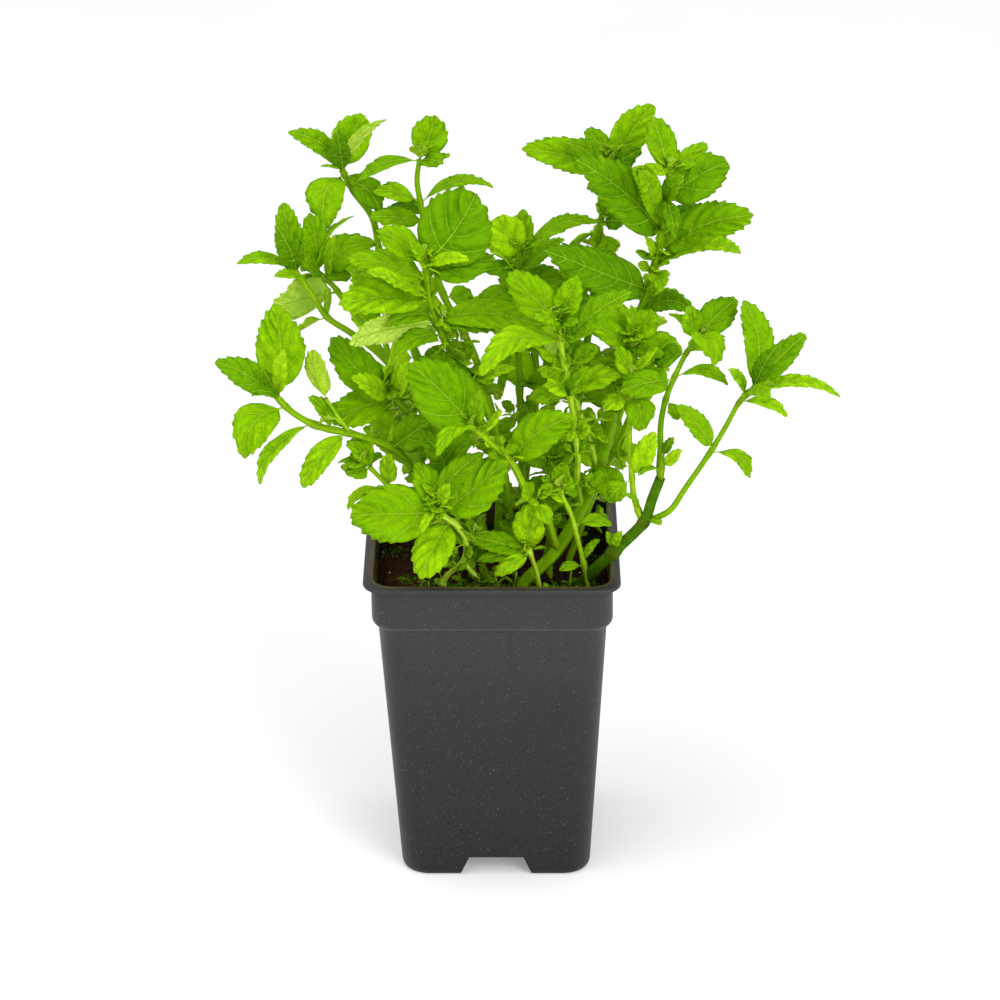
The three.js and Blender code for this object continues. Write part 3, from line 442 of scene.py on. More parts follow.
inside = [
    (FLOOR_WIDTH, BODY_RADIUS - 2, WALL),
    (mix(FLOOR_WIDTH, body_width(FLOOR_ROUNDING), 0.7), BODY_RADIUS - 2, FLOOR_ROUNDING * 0.35),
    (body_width(FLOOR_ROUNDING) - 2 * WALL, BODY_RADIUS - 1, FLOOR_ROUNDING),
    (BODY_TOP_WIDTH - 2 * WALL, BODY_RADIUS - 2, collar_foot - COLLAR_ROUNDING / 2),
    (COLLAR_WIDTH - 2 * WALL, RIM_RADIUS - WALL, collar_foot + COLLAR_ROUNDING / 2),
    (COLLAR_WIDTH - 2 * WALL, RIM_RADIUS - WALL, POT_HEIGHT - RIM_ROUNDING * 2),
    (COLLAR_WIDTH - 2 * WALL + RIM_ROUNDING * 0.5, RIM_RADIUS - WALL, POT_HEIGHT - RIM_ROUNDING * 0.6),
    (COLLAR_WIDTH - 2 * WALL + RIM_ROUNDING * 1.5, RIM_RADIUS - WALL, POT_HEIGHT),
    (COLLAR_WIDTH - 2 * WALL + RIM_ROUNDING * 2, RIM_RADIUS - WALL, POT_HEIGHT + RIM_ROUNDING),
]
hollow = piece("hollow", loft(inside), [])
for side in range(4):
    carve(hollow, pocket(side, WALL))
pot = piece("nursery_pot", loft(outside), [plastic])
cavity = bmesh.new()
cavity.from_mesh(hollow.data)
bmesh.ops.scale(cavity, vec=(1000, 1000, 1000), verts=cavity.verts)
bpy.data.objects.remove(hollow)
carve(pot, cavity)
for side in range(4):
    carve(pot, pocket(side, 0))
    slot = bmesh.new()
    bmesh.ops.create_cube(slot, size=1)
    bmesh.ops.scale(slot, vec=(SLOT_WIDTH, 4 * WALL, SLOT_HEIGHT), verts=slot.verts)
    slot_middle = (0, NOTCH_RUN - BODY_FOOT_WIDTH / 2, SLOT_FOOT + SLOT_HEIGHT / 2)
    bmesh.ops.translate(slot, vec=slot_middle, verts=slot.verts)
    bmesh.ops.rotate(slot, matrix=Matrix.Rotation(side * math.pi / 2, 3, "Z"), verts=slot.verts)
    carve(pot, slot)
smooth(pot, SHARP_ANGLE)
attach(pot, "root")
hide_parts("pot")


# The soil: moist peat with fine bark, pressed into the pot to 15 mm below its rim, crumbly on top and
# shrunk a little from the walls. The pot holds it. Its rings down the sides have their depth and the share
# of the top's width.
GAP = 0.3
SOIL_DEPTH = 15
SOIL_RINGS = [(3, 1), (6, 0.948), (108.5, 0.85)]
SOIL_STEPS = 110
MOUNDS_A_MILLIMETRE = 0.055
MOUND_HEIGHT = 1.1
CRUMBS_A_MILLIMETRE = 0.42
CRUMB_HEIGHT = 1.7
EDGE_START = 0.85
EDGE_DROP = 1.2
soil_width = COLLAR_WIDTH - 2 * (WALL + GAP)
soil_top = POT_HEIGHT - SOIL_DEPTH
soil_middle = -POT_LEAN * soil_top / POT_HEIGHT


def soil_height(x, y):
    """The height of the soil's surface, from broad mounds down to crumbs, lower along its edge."""
    mounds = noise.fractal(Vector((x, y, 3.0)) * MOUNDS_A_MILLIMETRE, 0.8, 2.0, 3)
    crumbs = noise.turbulence(Vector((x, y, 9.0)) * CRUMBS_A_MILLIMETRE, 3, False)
    out = max(abs(x - soil_middle), abs(y)) / (soil_width / 2)
    edge = max(out - EDGE_START, 0) / (1 - EDGE_START)
    return soil_top + MOUND_HEIGHT * mounds + CRUMB_HEIGHT * (crumbs - 0.45) - EDGE_DROP * edge


# Peat: nearly black and quite matt when moist, its crumbs browner where they have dried.
PEAT_CLOUD = 16.7
PEAT_GRAIN = 1.11
PEAT_DEPTH = 0.6
peat, tree, shader = material("moist_peat", 0x24140C)
place = add(tree, "TexCoord").outputs["Object"]
cloud = add(tree, "TexNoise", Vector=place, Scale=1000 / PEAT_CLOUD, Detail=8.0, Roughness=0.7).outputs[0]
grains = add(tree, "TexVoronoi", Vector=place, Scale=1000 / PEAT_GRAIN)
brown = ramp(tree, cloud, [(0.35, 0x1A0E05), (0.52, 0x341B0A), (0.7, 0x4A2A10)])
fleck = add(tree, "SeparateXYZ", Vector=grains.outputs["Color"]).outputs["X"]
fleck = add(tree, "Math", {"operation": "GREATER_THAN"}, i0=fleck, i1=0.975).outputs[0]
finish = add(tree, "Mix", {"data_type": "RGBA"}, i0=fleck, i6=brown, i7=linear(0x3E2A18)).outputs[2]
bump = add(tree, "Bump", Strength=0.9, Distance=PEAT_DEPTH / 1000, Height=grains.outputs["Distance"])
feed(tree, shader, Base_Color=finish, Roughness=0.95, Specular_IOR_Level=0.15, Normal=bump.outputs[0])

shape = bmesh.new()
bmesh.ops.create_grid(shape, x_segments=SOIL_STEPS, y_segments=SOIL_STEPS, size=soil_width / 2)
corner = RIM_RADIUS - WALL
for vertex in shape.verts:
    x, y, _ = vertex.co
    out = Vector((max(abs(x) - soil_width / 2 + corner, 0), max(abs(y) - soil_width / 2 + corner, 0)))
    if out.length > 0:
        out = out * (1 - max(out) / out.length)
    x = soil_middle + x - math.copysign(out.x, x)
    y = y - math.copysign(out.y, y)
    vertex.co = (x, y, soil_height(x, y))
edges = [e for e in shape.edges if e.is_boundary]
for depth, share in SOIL_RINGS:
    added = bmesh.ops.extrude_edge_only(shape, edges=edges)["geom"]
    edges = [g for g in added if isinstance(g, bmesh.types.BMEdge)]
    height = soil_top - depth
    for vertex in [g for g in added if isinstance(g, bmesh.types.BMVert)]:
        x, y, _ = vertex.co
        vertex.co = (-POT_LEAN * height / POT_HEIGHT + (x - soil_middle) * share, y * share, height)
bmesh.ops.contextual_create(shape, geom=edges)
bmesh.ops.recalc_face_normals(shape, faces=shape.faces)
soil = piece("soil_bed", shape, [peat])
smooth(soil, 180)
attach(soil, "root")
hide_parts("soil")

# Crumbs: bits of peat and bark with a few grains of white perlite, left loose on top when the pot was
# filled. They lie on the soil as they fell, each turned and pressed its own way.
CRUMBS = 520
CRUMB_SIZES = (0.5, 1.7)
PERLITE_GRAINS = 16
PERLITE_SIZES = (0.8, 1.6)
CRUMB_MARGIN = 3
CRUMB_DENTS = 0.12
litter = random.Random(5)


def on_soil(x, y):
    return Vector((x, y, soil_height(x, y)))


def strewn(count, sizes):
    """Lumps strewn on the soil, sunk in it a little."""
    shape = bmesh.new()
    reach = soil_width / 2 - CRUMB_MARGIN
    for _ in range(count):
        spot = on_soil(soil_middle + litter.uniform(-reach, reach), litter.uniform(-reach, reach))
        radius = mix(sizes[0], sizes[1], litter.random() ** 2) / 2
        spot.z += radius * 0.4
        turned = Matrix.Rotation(litter.uniform(0, 6), 4, "Z")
        tipped = Matrix.Rotation(litter.uniform(-0.5, 0.5), 4, "X")
        pressed = Matrix.Diagonal((litter.uniform(1, 1.9), 1, litter.uniform(0.6, 0.9), 1))
        bmesh.ops.create_icosphere(shape, subdivisions=1, radius=radius,
                                   matrix=Matrix.Translation(spot) @ turned @ tipped @ pressed)
    for vertex in shape.verts:
        vertex.co += Vector([litter.uniform(-CRUMB_DENTS, CRUMB_DENTS) for _ in range(3)])
    return shape


# Perlite: blown volcanic glass, matt and white, dulled by the peat.
PERLITE_CLOUD = 0.667
blown_perlite = clouded("expanded_perlite", 0xC9C4B4, PERLITE_CLOUD, 3.0, [(0.4, 0x8E8470), (0.6, 0xD2CDBE)],
                        Roughness=0.95)
crumbs = piece("soil_crumbs", strewn(CRUMBS, CRUMB_SIZES), [peat])
perlite = piece("perlite_grains", strewn(PERLITE_GRAINS, PERLITE_SIZES), [blown_perlite])
for made in (crumbs, perlite):
    smooth(made, 180)
    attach(made, "root")


# Moss: cushions of short leafy threads, green where they stand in the light, along the front rim and round
# the feet of the stems. Each cushion has its place and how far it reaches.
MOSS_PLACES = [
    (-28, -11, 5), (-21, -13, 6), (-12, -12, 5), (-5, -12, 4), (3, -13, 6), (9, -12, 4), (16, -13, 3),
    (24, -13, 5), (33, -12, 5), (40, -13, 4), (-36, -6, 3), (-24, -30, 4), (6, -36, 6), (30, -34, 5),
    (-41, 20, 6), (-20, 38, 7), (14, 40, 6), (40, 12, 4), (38, 36, 5), (-2, 14, 5), (-12, -41, 5),
]
MOSS_MARGIN = 1.2
THREADS_A_CUSHION = 110
THREAD_LENGTHS = (0.6, 1.9)
THREAD_WIDTH = 0.5
THREAD_TIP_WIDTH = 0.16
shape = bmesh.new()
side = soil_width / 2 - MOSS_MARGIN
for x, y, reach in MOSS_PLACES:
    for _ in range(THREADS_A_CUSHION):
        angle = litter.uniform(0, 2 * math.pi)
        out = reach * math.sqrt(litter.random())
        across = x + out * math.cos(angle) * 1.3
        back = y + out * math.sin(angle)
        spot = on_soil(min(max(across, soil_middle - side), soil_middle + side), min(max(back, -side), side))
        length = mix(THREAD_LENGTHS[0], THREAD_LENGTHS[1], litter.random()) * (1.1 - 0.6 * out / reach)
        turned = Matrix.Rotation(litter.uniform(0, 6.3), 4, "Z")
        leaned = Matrix.Rotation(litter.uniform(0, 1.2), 4, "X")
        grown = Matrix.Translation(spot) @ turned @ leaned @ Matrix.Translation((0, 0, length * 0.4))
        bmesh.ops.create_cone(shape, cap_ends=True, segments=5, radius1=THREAD_WIDTH / 2,
                              radius2=THREAD_TIP_WIDTH / 2, depth=length, matrix=grown)

# Living moss: a soft matt green, darker where the threads stand close.
MOSS_CLOUD = 2.5
living_moss = clouded("living_moss", 0x4F7A10, MOSS_CLOUD, 4.0,
                      [(0.35, 0x264604), (0.5, 0x4C7A06), (0.68, 0x80AE18)],
                      Roughness=0.8, Specular_IOR_Level=0.1)
moss = piece("moss_cushions", shape, [living_moss])
smooth(moss, 60)
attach(moss, "root")


# The plant: spearmint, grown from cuttings. Its stems are square and grooved, and carry their leaves in
# opposite pairs, each pair a quarter turn from the one below, with young shoots in the angles over them and
# a tuft of small leaves at the tip. Stems that were cut back are thicker and darker, and end in a dry cut.

# Each node is a list of shoots: the width at the foot and at the tip, the route, and the leaves. A leaf has
# its place on the route, its tip as right, up and back, its width, how far its face turns up from the viewer
# to the sky, and how high it arches. Some leaves also have how far they bend to the right of their run, how
# blunt they are, and how light: the others leave these three to chance.
PLANT = {
    "stem_right_low": [
        {"thick": (5, 4.4),
         "route": [(36, -19, -15), (43.2, -11, -26), (49, -5.5, -31), (61, 6.5, -34), (64, 15, -34),
            (67.3, 23.5, -34)],
         "leaves": [(1.9, 46, 2, -34, 4, 20, 0.1), (2, 51.5, 2, -38, 4, 20, 0.1),
            (3, 67.5, 5.5, -42, 5, 60, 0.1)]},
        {"thick": (2.3, 1.6),
         "route": [(67.3, 22, -34), (67.5, 33, -32), (67.5, 45, -29), (69.5, 55, -27), (73, 64, -25),
            (78, 74, -22), (82, 79.5, -21)],
         "leaves": [(0.4, 58.5, 25, -40, 5, 60, 0.2), (0.9, 72, 39.5, -38, 4, 30, 0, 0, 0.5, 0),
            (0.6, 75, 34.5, -42, 5, 20, 0), (3, 74.5, 47, -34, 7, 30, 0.1, 0, 0.5, 0.4),
            (4, 94.2, 61.8, -34, 7, 50, 0.05, -0.204, 0.5, 0.45),
            (4, 52, 59, -36, 13, 30, 0.05, 0, 0.5, 0.3),
            (5, 64.8, 71, -14, 11.5, 40, 0, -0.018, 0.4, 0.15), (5, 88.5, 78, -8, 9, 40, 0.1),
            (6, 97.6, 95.3, -12, 12.8, 15, 0, -0.03, 0.35, 0.2),
            (6, 89.4, 69.5, -40, 14, 45, 0.3, 0.09, 0.5, 0.45),
            (6, 72, 90, -8, 11, 60, 0.1, 0.048, 0.4, 0.4), (6, 79, 92, -24, 9.5, 30, 0, 0, 0.5, 0.45)]},
        {"thick": (2.2, 1.6),
         "route": [(61, 6, -34), (71, 10.5, -38), (77, 19, -38), (88, 35, -36), (94, 45, -34),
            (99, 54, -32), (105, 60, -31)],
         "leaves": [(3, 74.3, 52.6, -42, 8.5, 20, 0.1, 0.018, 0.7, 0.4),
            (3, 103.3, 24.6, -46, 8, 50, 0.08, -0.27, 0.6, 0.5),
            (5.3, 95, 67, -44, 6, 50, 0.1, 0.03, 0.3, 0.6),
            (5, 118, 49, -40, 7, 50, 0.08, -0.12, 0.6, 0.7),
            (5.3, 111, 57, -56, 7.5, 60, 0.1, -0.03, 0.6, 0.5),
            (6, 101.5, 94.5, -24, 12, 15, 0.05, 0.096, 0.75, 0.4), (5.5, 96, 67.5, -34, 5, 50, 0),
            (6, 125.3, 81.2, -24, 10.5, 20, 0, -0.024, 0.5, 0.2), (6, 112, 75, -48, 7.5, 30, 0, 0, 0.4, 0),
            (5.6, 139, 57.8, -38, 8, 50, 0.06, -0.132, 0.4, 0.6)]},
        {"thick": (2.2, 1.5),
         "route": [(60, 6.5, -34), (56.8, 16, -33), (56, 24, -32), (55, 40, -28), (55.5, 57, -24),
            (56, 63, -23)],
         "leaves": [(0.4, 52, 17.5, -40, 3, 60, 0.2), (2, 64.5, 41, -38, 9, 15, 0),
            (2, 47, 15, -34, 9, 15, 0.3, 0, 0.4, 0.4), (4, 59.5, 43, -36, 12, 10, 0.15, -0.09, 0.5, 0.38),
            (4, 44, 52, -30, 9, 40, 0.1), (5, 66.5, 76, -20, 7, 60, 0.1), (5, 50, 76, -26, 8, 30, 0)]},
    ],
    "stem_main": [
        {"thick": (5.4, 4.8),
         "route": [(13, -19.5, -15), (25, -6.5, -13), (36, 12, -9), (42, 27, -6), (46, 40, -4),
            (48.5, 51, -3)],
         "leaves": [(3.8, 38, 46, -12, 6, 50, 0.1), (3.3, 48, 14, -22, 13.5, 20, 0.1, 0, 0.5, 0.45)]},
        {"thick": (2.4, 1.7),
         "route": [(36, 12, -9), (34.3, 20, -14), (34.3, 33, -20), (33, 45, -26), (31, 57, -31),
            (29, 68, -34), (27.5, 78, -36), (26.5, 86, -37)],
         "leaves": [(4, 21.5, 61, -40, 9, 40, 0.1), (4, 37, 68, -42, 7, 50, 0.1),
            (6, -4.5, 67.3, -62, 14.5, 45, 0.18, 0.048, 0.5, 0.58),
            (6, 54, 98.5, -46, 12, 30, 0.05, 0, 0.3, 0.25), (7, 7, 105.5, -42, 15, 5, 0.05, 0, 0.45, 0.42),
            (7, 34, 104, -46, 10, 5, 0, 0, 0.4, 0.5), (7, 18, 88, -54, 7, 40, 0.1),
            (6.7, 34, 86, -50, 7, 50, 0.1)]},
        {"thick": (2.2, 1.5),
         "route": [(42, 28, -6), (38, 42, -11), (34, 53, -15), (31, 62, -18), (30, 70, -20)],
         "leaves": [(2.6, 51, 65, -24, 11, 35, 0.1), (2.5, 15, 56, -12, 9, 30, 0.1),
            (3, 20, 66, -24, 8, 40, 0.1), (4, 42, 76, -22, 8, 30, 0), (4, 18, 78, -20, 9, 30, 0)]},
        {"thick": (3, 1.8),
         "route": [(48.5, 49, -3), (49, 60, 4), (53, 75, 12), (58, 88, 14), (62, 98, 11), (65.5, 110, 6),
            (67.5, 121, -2), (69, 134, -3), (71, 146, -4)],
         "leaves": [(2.7, 80.5, 90.5, -8, 9.5, 40, 0.08, -0.18, 0.3, 0.15), (3, 42, 90, -6, 11, 30, 0.05),
            (4.1, 22, 115, -10, 18.5, 20, 0.1, -0.06, 0.55, 0.05),
            (4.6, 67.3, 99.5, -8, 7, 10, 0.05, -0.072, 0.4, 0.5),
            (4.8, 98.8, 114.6, -32, 10, 55, 0.05, -0.096, 0.4, 0.55),
            (5.4, 104, 129, -6, 17.5, 15, 0.05, -0.06, 0.45, 0.3),
            (6, 34.2, 150.8, -22, 20.5, 15, 0.08, 0.024, 0.4, 0.1),
            (6, 87, 133, 14, 13, 20, 0.05, 0, 0.4, -0.15),
            (6.9, 59, 147, -36, 10, 25, -0.05, 0.018, 0.4, 0.3),
            (7, 94.2, 150, -4, 18, 10, 0.03, -0.048, 0.7, 0.15),
            (8, 64.2, 168.5, 6, 11.5, 5, 0, 0.018, 0.4, 0.35), (8, 86, 157.5, 2, 8, 20, 0, 0, 0.4, 0.45),
            (8, 60, 146, -16, 7, 50, 0.1, 0.036, 0.3, 0.6), (5, 62.3, 119.5, -6, 4, 20, 0, 0.03, 0.2, 0.9),
            (6.2, 60.5, 145.5, -34, 9.5, 25, -0.05, 0.048, 0.3, 0.5),
            (7, 76, 144, -20, 8, 30, 0.05, -0.03, 0.4, 0.35), (8, 74, 155, 4, 7, 20, 0.05, 0, 0.4, 0.4),
            (7.2, 73, 120, -20, 9, 40, 0.1, 0.06, 0.4, 0.1)]},
        {"thick": (2.8, 2),
         "route": [(26, -5, -13), (21.5, 8, -22), (16, 14, -28), (8, 29.5, -36), (3, 34.5, -40),
            (-3, 40, -43), (-6.5, 43, -44)],
         "leaves": [(3.1, 31.8, 48, -46, 16, 12, 0.05, -0.072, 0.5, 0.4),
            (6, -32, 69, -46, 23, 5, 0.05, 0.018, 0.4, 0.25), (5.6, -22, 32.5, -64, 11, 60, 0.25),
            (5.4, 3.8, 50.5, -50, 6, 60, 0), (6, -5.5, 57.5, -54, 7, 30, 0)]},
    ],
    "stem_back_right": [
        {"thick": (3.2, 1.8),
         "route": [(22, -10, 8), (28, 20, 14), (34, 50, 20), (39, 85, 24), (42, 110, 26), (43, 122, 26),
            (45, 136, 25), (48, 150, 24)],
         "leaves": [(5.3, 53, 126.5, 18, 8, 20, 0.05, 0, 0.5, 0),
            (5, 49, 114, 18, 6, 20, 0.05, 0, 0.3, 0.55),
            (7, 13.3, 156.5, 14, 15, 22, 0.05, -0.042, 0.4, 0.45),
            (7, 38, 163.5, 30, 8.5, 10, 0, 0.024, 0.6, 0.3),
            (6.6, 31, 158, 4, 9.5, 35, 0.05, 0.03, 0.5, 0.2),
            (7, 64, 172.5, 22, 14, 5, -0.03, -0.036, 0.45, 0.5),
            (7, 58.5, 155, 12, 8.5, 20, 0, 0, 0.3, 0.05), (4, 27, 99, 16, 13, 35, 0.1),
            (4, 58, 97, 36, 13, 40, 0.1), (3, 20, 78, 34, 12, 40, 0.1), (3, 58, 76, 38, 12, 40, 0.1)]},
    ],
    "stem_front_left": [
        {"thick": (2.3, 2),
         "route": [(-19.3, -20.6, -15), (-16.9, -14.4, -18), (-11.8, -9.8, -22), (-10.2, -2.9, -28),
            (-14, 4.5, -33), (-20, 9, -37), (-22.5, 12, -39)],
         "leaves": [(5.2, -56.3, 9, -44, 23, 12, 0.06, -0.012, 0.6, 0.42),
            (5, 6, 30.5, -44, 19, 8, 0.04, 0.012, 0.4, 0.36),
            (4.4, -28.5, -16.5, -54, 15.5, 15, 0.1, 0.012, 0.6, 0.58),
            (5.5, -30, 29.5, -34, 11, 10, 0, 0.018, 0.4, 0.45), (5.6, -28, 2, -56, 5, 50, 0.1),
            (6, -17, 21, -48, 6, 30, 0, 0, 0.3, 0.7), (6, -4, 33.5, -40, 10, 20, 0.1, -0.06, 0.4, 0.2)]},
        {"thick": (2.1, 1.7),
         "route": [(-11.8, -9.8, -22), (-8.8, -13, -23), (-5.8, -16.4, -22)],
         "leaves": []},
    ],
    "stem_left": [
        {"thick": (3.4, 2),
         "route": [(-14, -12, 3), (-20, 0, 0), (-27, 17, -4), (-34, 30, -8), (-40, 35.5, -11),
            (-55, 41, -15), (-70, 44.5, -18), (-80, 50, -20), (-87, 57, -21)],
         "leaves": [(4, -25.5, 46, -18, 14, 10, 0.03, 0, 0.5, 0.2),
            (5.2, -76, 20, -24, 10.5, 25, 0.05, 0.048, 0.8, 0.6),
            (6, -60, 46.5, -32, 3.5, 120, 0.1, 0.06, 0.3, 0.7),
            (6.2, -94.3, 23, -36, 8.5, 50, 0.05, 0.12, 0.7, 0.6),
            (7.3, -100, 32.5, -34, 16, 12, 0.08, 0.18, 0.55, 0.5),
            (8, -110, 70.5, -24, 12, 20, 0.05, 0.03, 0.35, 0.25),
            (8, -86.5, 93, -16, 19, 8, 0.03, 0.06, 0.35, 0.5), (8, -84, 74, -36, 7, 25, 0, 0, 0.3, 0.9),
            (8, -95.5, 58.5, -38, 5, 50, 0.1, -0.03, 0.3, 0.1), (7.6, -91.5, 67, -28, 5, 30, 0, 0, 0.3, 0),
            (5.6, -73, 56, -24, 7, 40, 0.1, 0.06, 0.5, 0.4),
            (5.2, -63, 54, -8, 10, 20, 0.1, 0.03, 0.5, 0.3)]},
        {"thick": (2, 1.6),
         "route": [(-21, 2, -1), (-33, 12, -8), (-41, 20, -12), (-49, 28, -15)],
         "leaves": [(3, -58.5, 25.7, -22, 9, 30, 0.1, -0.06, 0.5, 0.35),
            (3, -45, 34, -10, 6, 40, 0.1, 0, 0.3, 0.4), (3, -61.5, 30.5, -12, 8, 60, 0.1, 0.06, 0.5, 0.35),
            (2, -41, 33, -18, 8, 25, 0), (3, -57.5, 38.5, -16, 9, 30, 0.1, 0.06, 0.5, 0.5),
            (2, -57.8, 11.5, -22, 7, 60, 0.05, 0.252, 0.2, 1)]},
        {"thick": (1.4, 1.1),
         "route": [(-56.8, 42, -17), (-61.5, 48, -19), (-66.5, 55.5, -22)],
         "leaves": [(2, -71, 75, -26, 11, 145, 0, 0.072, 0.7, 0.55)]},
    ],
    "stem_upper_left": [
        {"thick": (2.9, 1.8),
         "route": [(-8, -8, 10), (-12, 10, 12), (-20, 32, 10), (-28, 50, 8), (-37, 64, 6), (-46, 74, 4),
            (-57, 82, 2), (-66, 88, 0), (-72, 97, -1), (-79, 107, -2)],
         "leaves": [(7, -79, 81.5, -12, 8, 110, 0.15, 0.15, 0.3, 0.6), (7, -66, 100, -6, 5, 120, 0),
            (9, -101.8, 110, -12, 7.5, 55, 0.12, 0.048, 0.2, 0.45), (8.5, -86, 105, -18, 7, 60, 0.1),
            (9, -83, 132.5, -12, 11, 15, 0.03, -0.024, 0.85, 0.35),
            (9, -84.8, 122.5, -20, 10.5, 15, 0.03, 0.024, 0.6, 0.05)]},
        {"thick": (2.2, 1.7),
         "route": [(-38, 65, 6), (-48, 80, 10), (-58, 93, 10), (-64, 101, 9), (-69.5, 105.5, 8)],
         "leaves": [(2.6, -87.5, 91.5, -6, 21, 130, 0.1, 0.06, 0.5, 0.9),
            (3.5, -47.5, 118.5, 12, 15, 30, 0.2, -0.072, 0.4, 0.45),
            (4, -72.5, 129, 6, 12, 20, 0, 0.018, 0.3, 0.35), (3.4, -64.5, 120, -8, 6, 50, 0, 0, 0.3, 0.6),
            (3.6, -77, 114, -8, 6, 40, 0), (4, -55.5, 128.5, 14, 5, 60, 0.2),
            (3.8, -57, 104, 2, 8, 40, 0.1, 0, 0.5, 0.2)]},
    ],
    "stem_mid_left": [
        {"thick": (2.6, 1.9),
         "route": [(-8, -13, -1), (-14, 10, -3), (-24, 36, -4), (-34, 50, -5), (-42, 58, -6)],
         "leaves": [(4, -64, 79.5, -8, 16, 15, 0.05, -0.072, 0.6, 0.3), (4, -38, 80, -4, 11, 70, 0),
            (3.6, -64.5, 46.5, -14, 15, 15, 0.05, 0.036, 0.6, 0.5),
            (3, -48, 38.5, -2, 14.5, 25, 0.1, -0.018, 0.85, 0.6), (4, -55, 64, -24, 10, 30, 0.05),
            (3.6, -34, 70, -20, 7, 40, 0, 0, 0.3, 0.9), (2, -12, 45, 0, 12, 30, 0.1),
            (2, -36, 26, 8, 10, 40, 0.1)]},
    ],
    "stem_top_left": [
        {"thick": (3.2, 1.9),
         "route": [(-4, -8, 14), (-10, 20, 18), (-20, 45, 22), (-30, 72, 26), (-40, 96, 28),
            (-45, 114, 28), (-48, 128, 28), (-56, 139, 27), (-60, 147, 26)],
         "leaves": [(7.7, -66.4, 124, 10, 15.5, 15, 0.25, 0.132, 0.3, 0.45),
            (7.3, -44.5, 130.5, 12, 11.5, 15, 0.2, -0.084, 0.3, 0.1),
            (8, -81, 162, 16, 8.5, 20, 0.05, 0.108, 0.3, 0.35),
            (8, -51.8, 169, 28, 15.2, 5, 0, -0.048, 0.7, 0.5),
            (8, -42.8, 168, 8, 6.5, 125, 0.05, 0.072, 0.2, 0.7), (8, -61.5, 161, 12, 9, 20, 0, 0, 0.3, 0),
            (5, -30, 108, 36, 10, 40, 0.1), (4, -56, 104, 34, 13, 40, 0.1), (4, -24, 92, 40, 12, 40, 0.1),
            (3, -44, 66, 38, 12, 40, 0.1), (7.8, -51, 139.5, 20, 7, 30, 0.05, -0.06, 0.3, 0.3)]},
    ],
    "stem_top_centre": [
        {"thick": (3, 1.7),
         "route": [(2, -8, 12), (3, 20, 12), (1, 45, 11), (-4, 63, 10), (-8, 75, 10), (-14, 86, 11),
            (-19.5, 97, 12), (-24, 112, 14), (-27, 126, 16), (-28.7, 134, 16), (-30, 143, 16),
            (-29, 151, 16)],
         "leaves": [(9, -47, 139, 12, 9, 40, 0.03, 0.06, 0.4, 0.55),
            (9, 0, 141.2, 14, 8, 55, 0.08, -0.18, 0.2, 0.4),
            (11, -22.5, 168.5, 18, 14, 0, 0, 0.024, 0.5, 0.4),
            (11, -53.5, 142.5, 10, 9, 55, 0.08, 0.12, 0.3, 0.3),
            (11, -20, 150, 6, 8.5, 40, 0.1, 0, 0.5, 0.25), (11, -17, 153, 12, 6, 55, 0),
            (8, -48.5, 128.5, 8, 10, 30, 0.05, 0, 0.4, 0.35), (8, -8, 124, 30, 13, 40, 0.1),
            (6, -38, 104, 20, 12, 40, 0.1), (6, -6, 93, 24, 12, 30, 0.1, 0, 0.3, 0.4),
            (9, -43.5, 130, 18, 5.5, 40, 0.05, 0.06, 0.3, 0),
            (8.2, -36, 135, 26, 7, 20, 0.05, 0, 0.5, 0.15)]},
    ],
    "stem_broad_leaf": [
        {"thick": (3, 2.1),
         "route": [(8, -12, 0), (7, 10, -4), (4, 30, -7), (-1, 48, -9), (-6.5, 61, -10), (-14, 69, -11),
            (-18, 77, -12), (-22, 86, -14), (-25, 95, -16), (-26, 104, -18), (-27, 110, -19)],
         "leaves": [(7.1, 18, 85.2, -24, 14, 35, 0.1, -0.024, 0.4, 0.45),
            (7, -58, 79, -36, 14, 140, 0.12, 0.06, 0.3, 1),
            (8.8, -57.5, 112.5, -20, 15, 40, 0.03, 0.03, 0.4, 0.5),
            (8, -49.5, 106, -42, 12, 60, 0.03, 0.03, 0.4, 0.65),
            (8, -61, 94, -26, 17, 35, 0.05, 0.018, 0.5, 0.58),
            (10, -7, 137, -18, 29, 0, 0.03, 0.066, 0.85, 0.15),
            (10, -45.5, 123, -22, 12, 20, 0.03, 0.048, 0.3, 0.45),
            (9.6, 1, 112, -22, 17, 30, 0.05, 0.084, 0.3, 0.15),
            (10, -11, 112, -36, 6, 30, 0, -0.03, 0.3, 0.8), (10, -32, 118, -32, 5, 30, 0),
            (4, 9.5, 67.8, -16, 6, 40, 0.1, -0.03, 0.3, 0.7), (4, -28, 72, -22, 9, 30, 0.1, 0, 0.4, 0.1),
            (6, -24.7, 69.5, -20, 10, 35, 0.05, 0.03, 0.5, 0),
            (7.2, -42, 85.5, -26, 8, 35, 0.1, 0.048, 0.4, 0.3),
            (6.4, -39, 74, -30, 9, 35, 0.1, 0.048, 0.4, 0.4),
            (6.9, 1, 83, -20, 9, 30, 0.1, -0.03, 0.4, 0.3)]},
    ],
    "stem_centre_top": [
        {"thick": (3, 1.8),
         "route": [(12, -5, 20), (12, 30, 22), (11, 60, 22), (10, 85, 20), (10, 100, 18), (12, 112, 16)],
         "leaves": [(5, 2.2, 127.3, 12, 16, 12, 0.03, -0.024, 0.9, 0.7),
            (5, 12.3, 131, 20, 8.5, 10, 0, 0.018, 0.6, 0.4),
            (5, 41, 127.8, 12, 9, 50, 0.06, -0.144, 0.3, 0.45),
            (4.6, 26, 119.5, -6, 8.5, 40, 0, 0.024, 0.4, 0.2),
            (4.6, -3, 107, 6, 9, 30, 0.05, 0, 0.4, 0.05), (4, 28, 103, 6, 14, 35, 0.1, 0, 0.4, 0.3),
            (4, -6, 92, 12, 10, 40, 0.1, 0, 0.3, 0.4), (3, 34, 84, 10, 12, 40, 0.1),
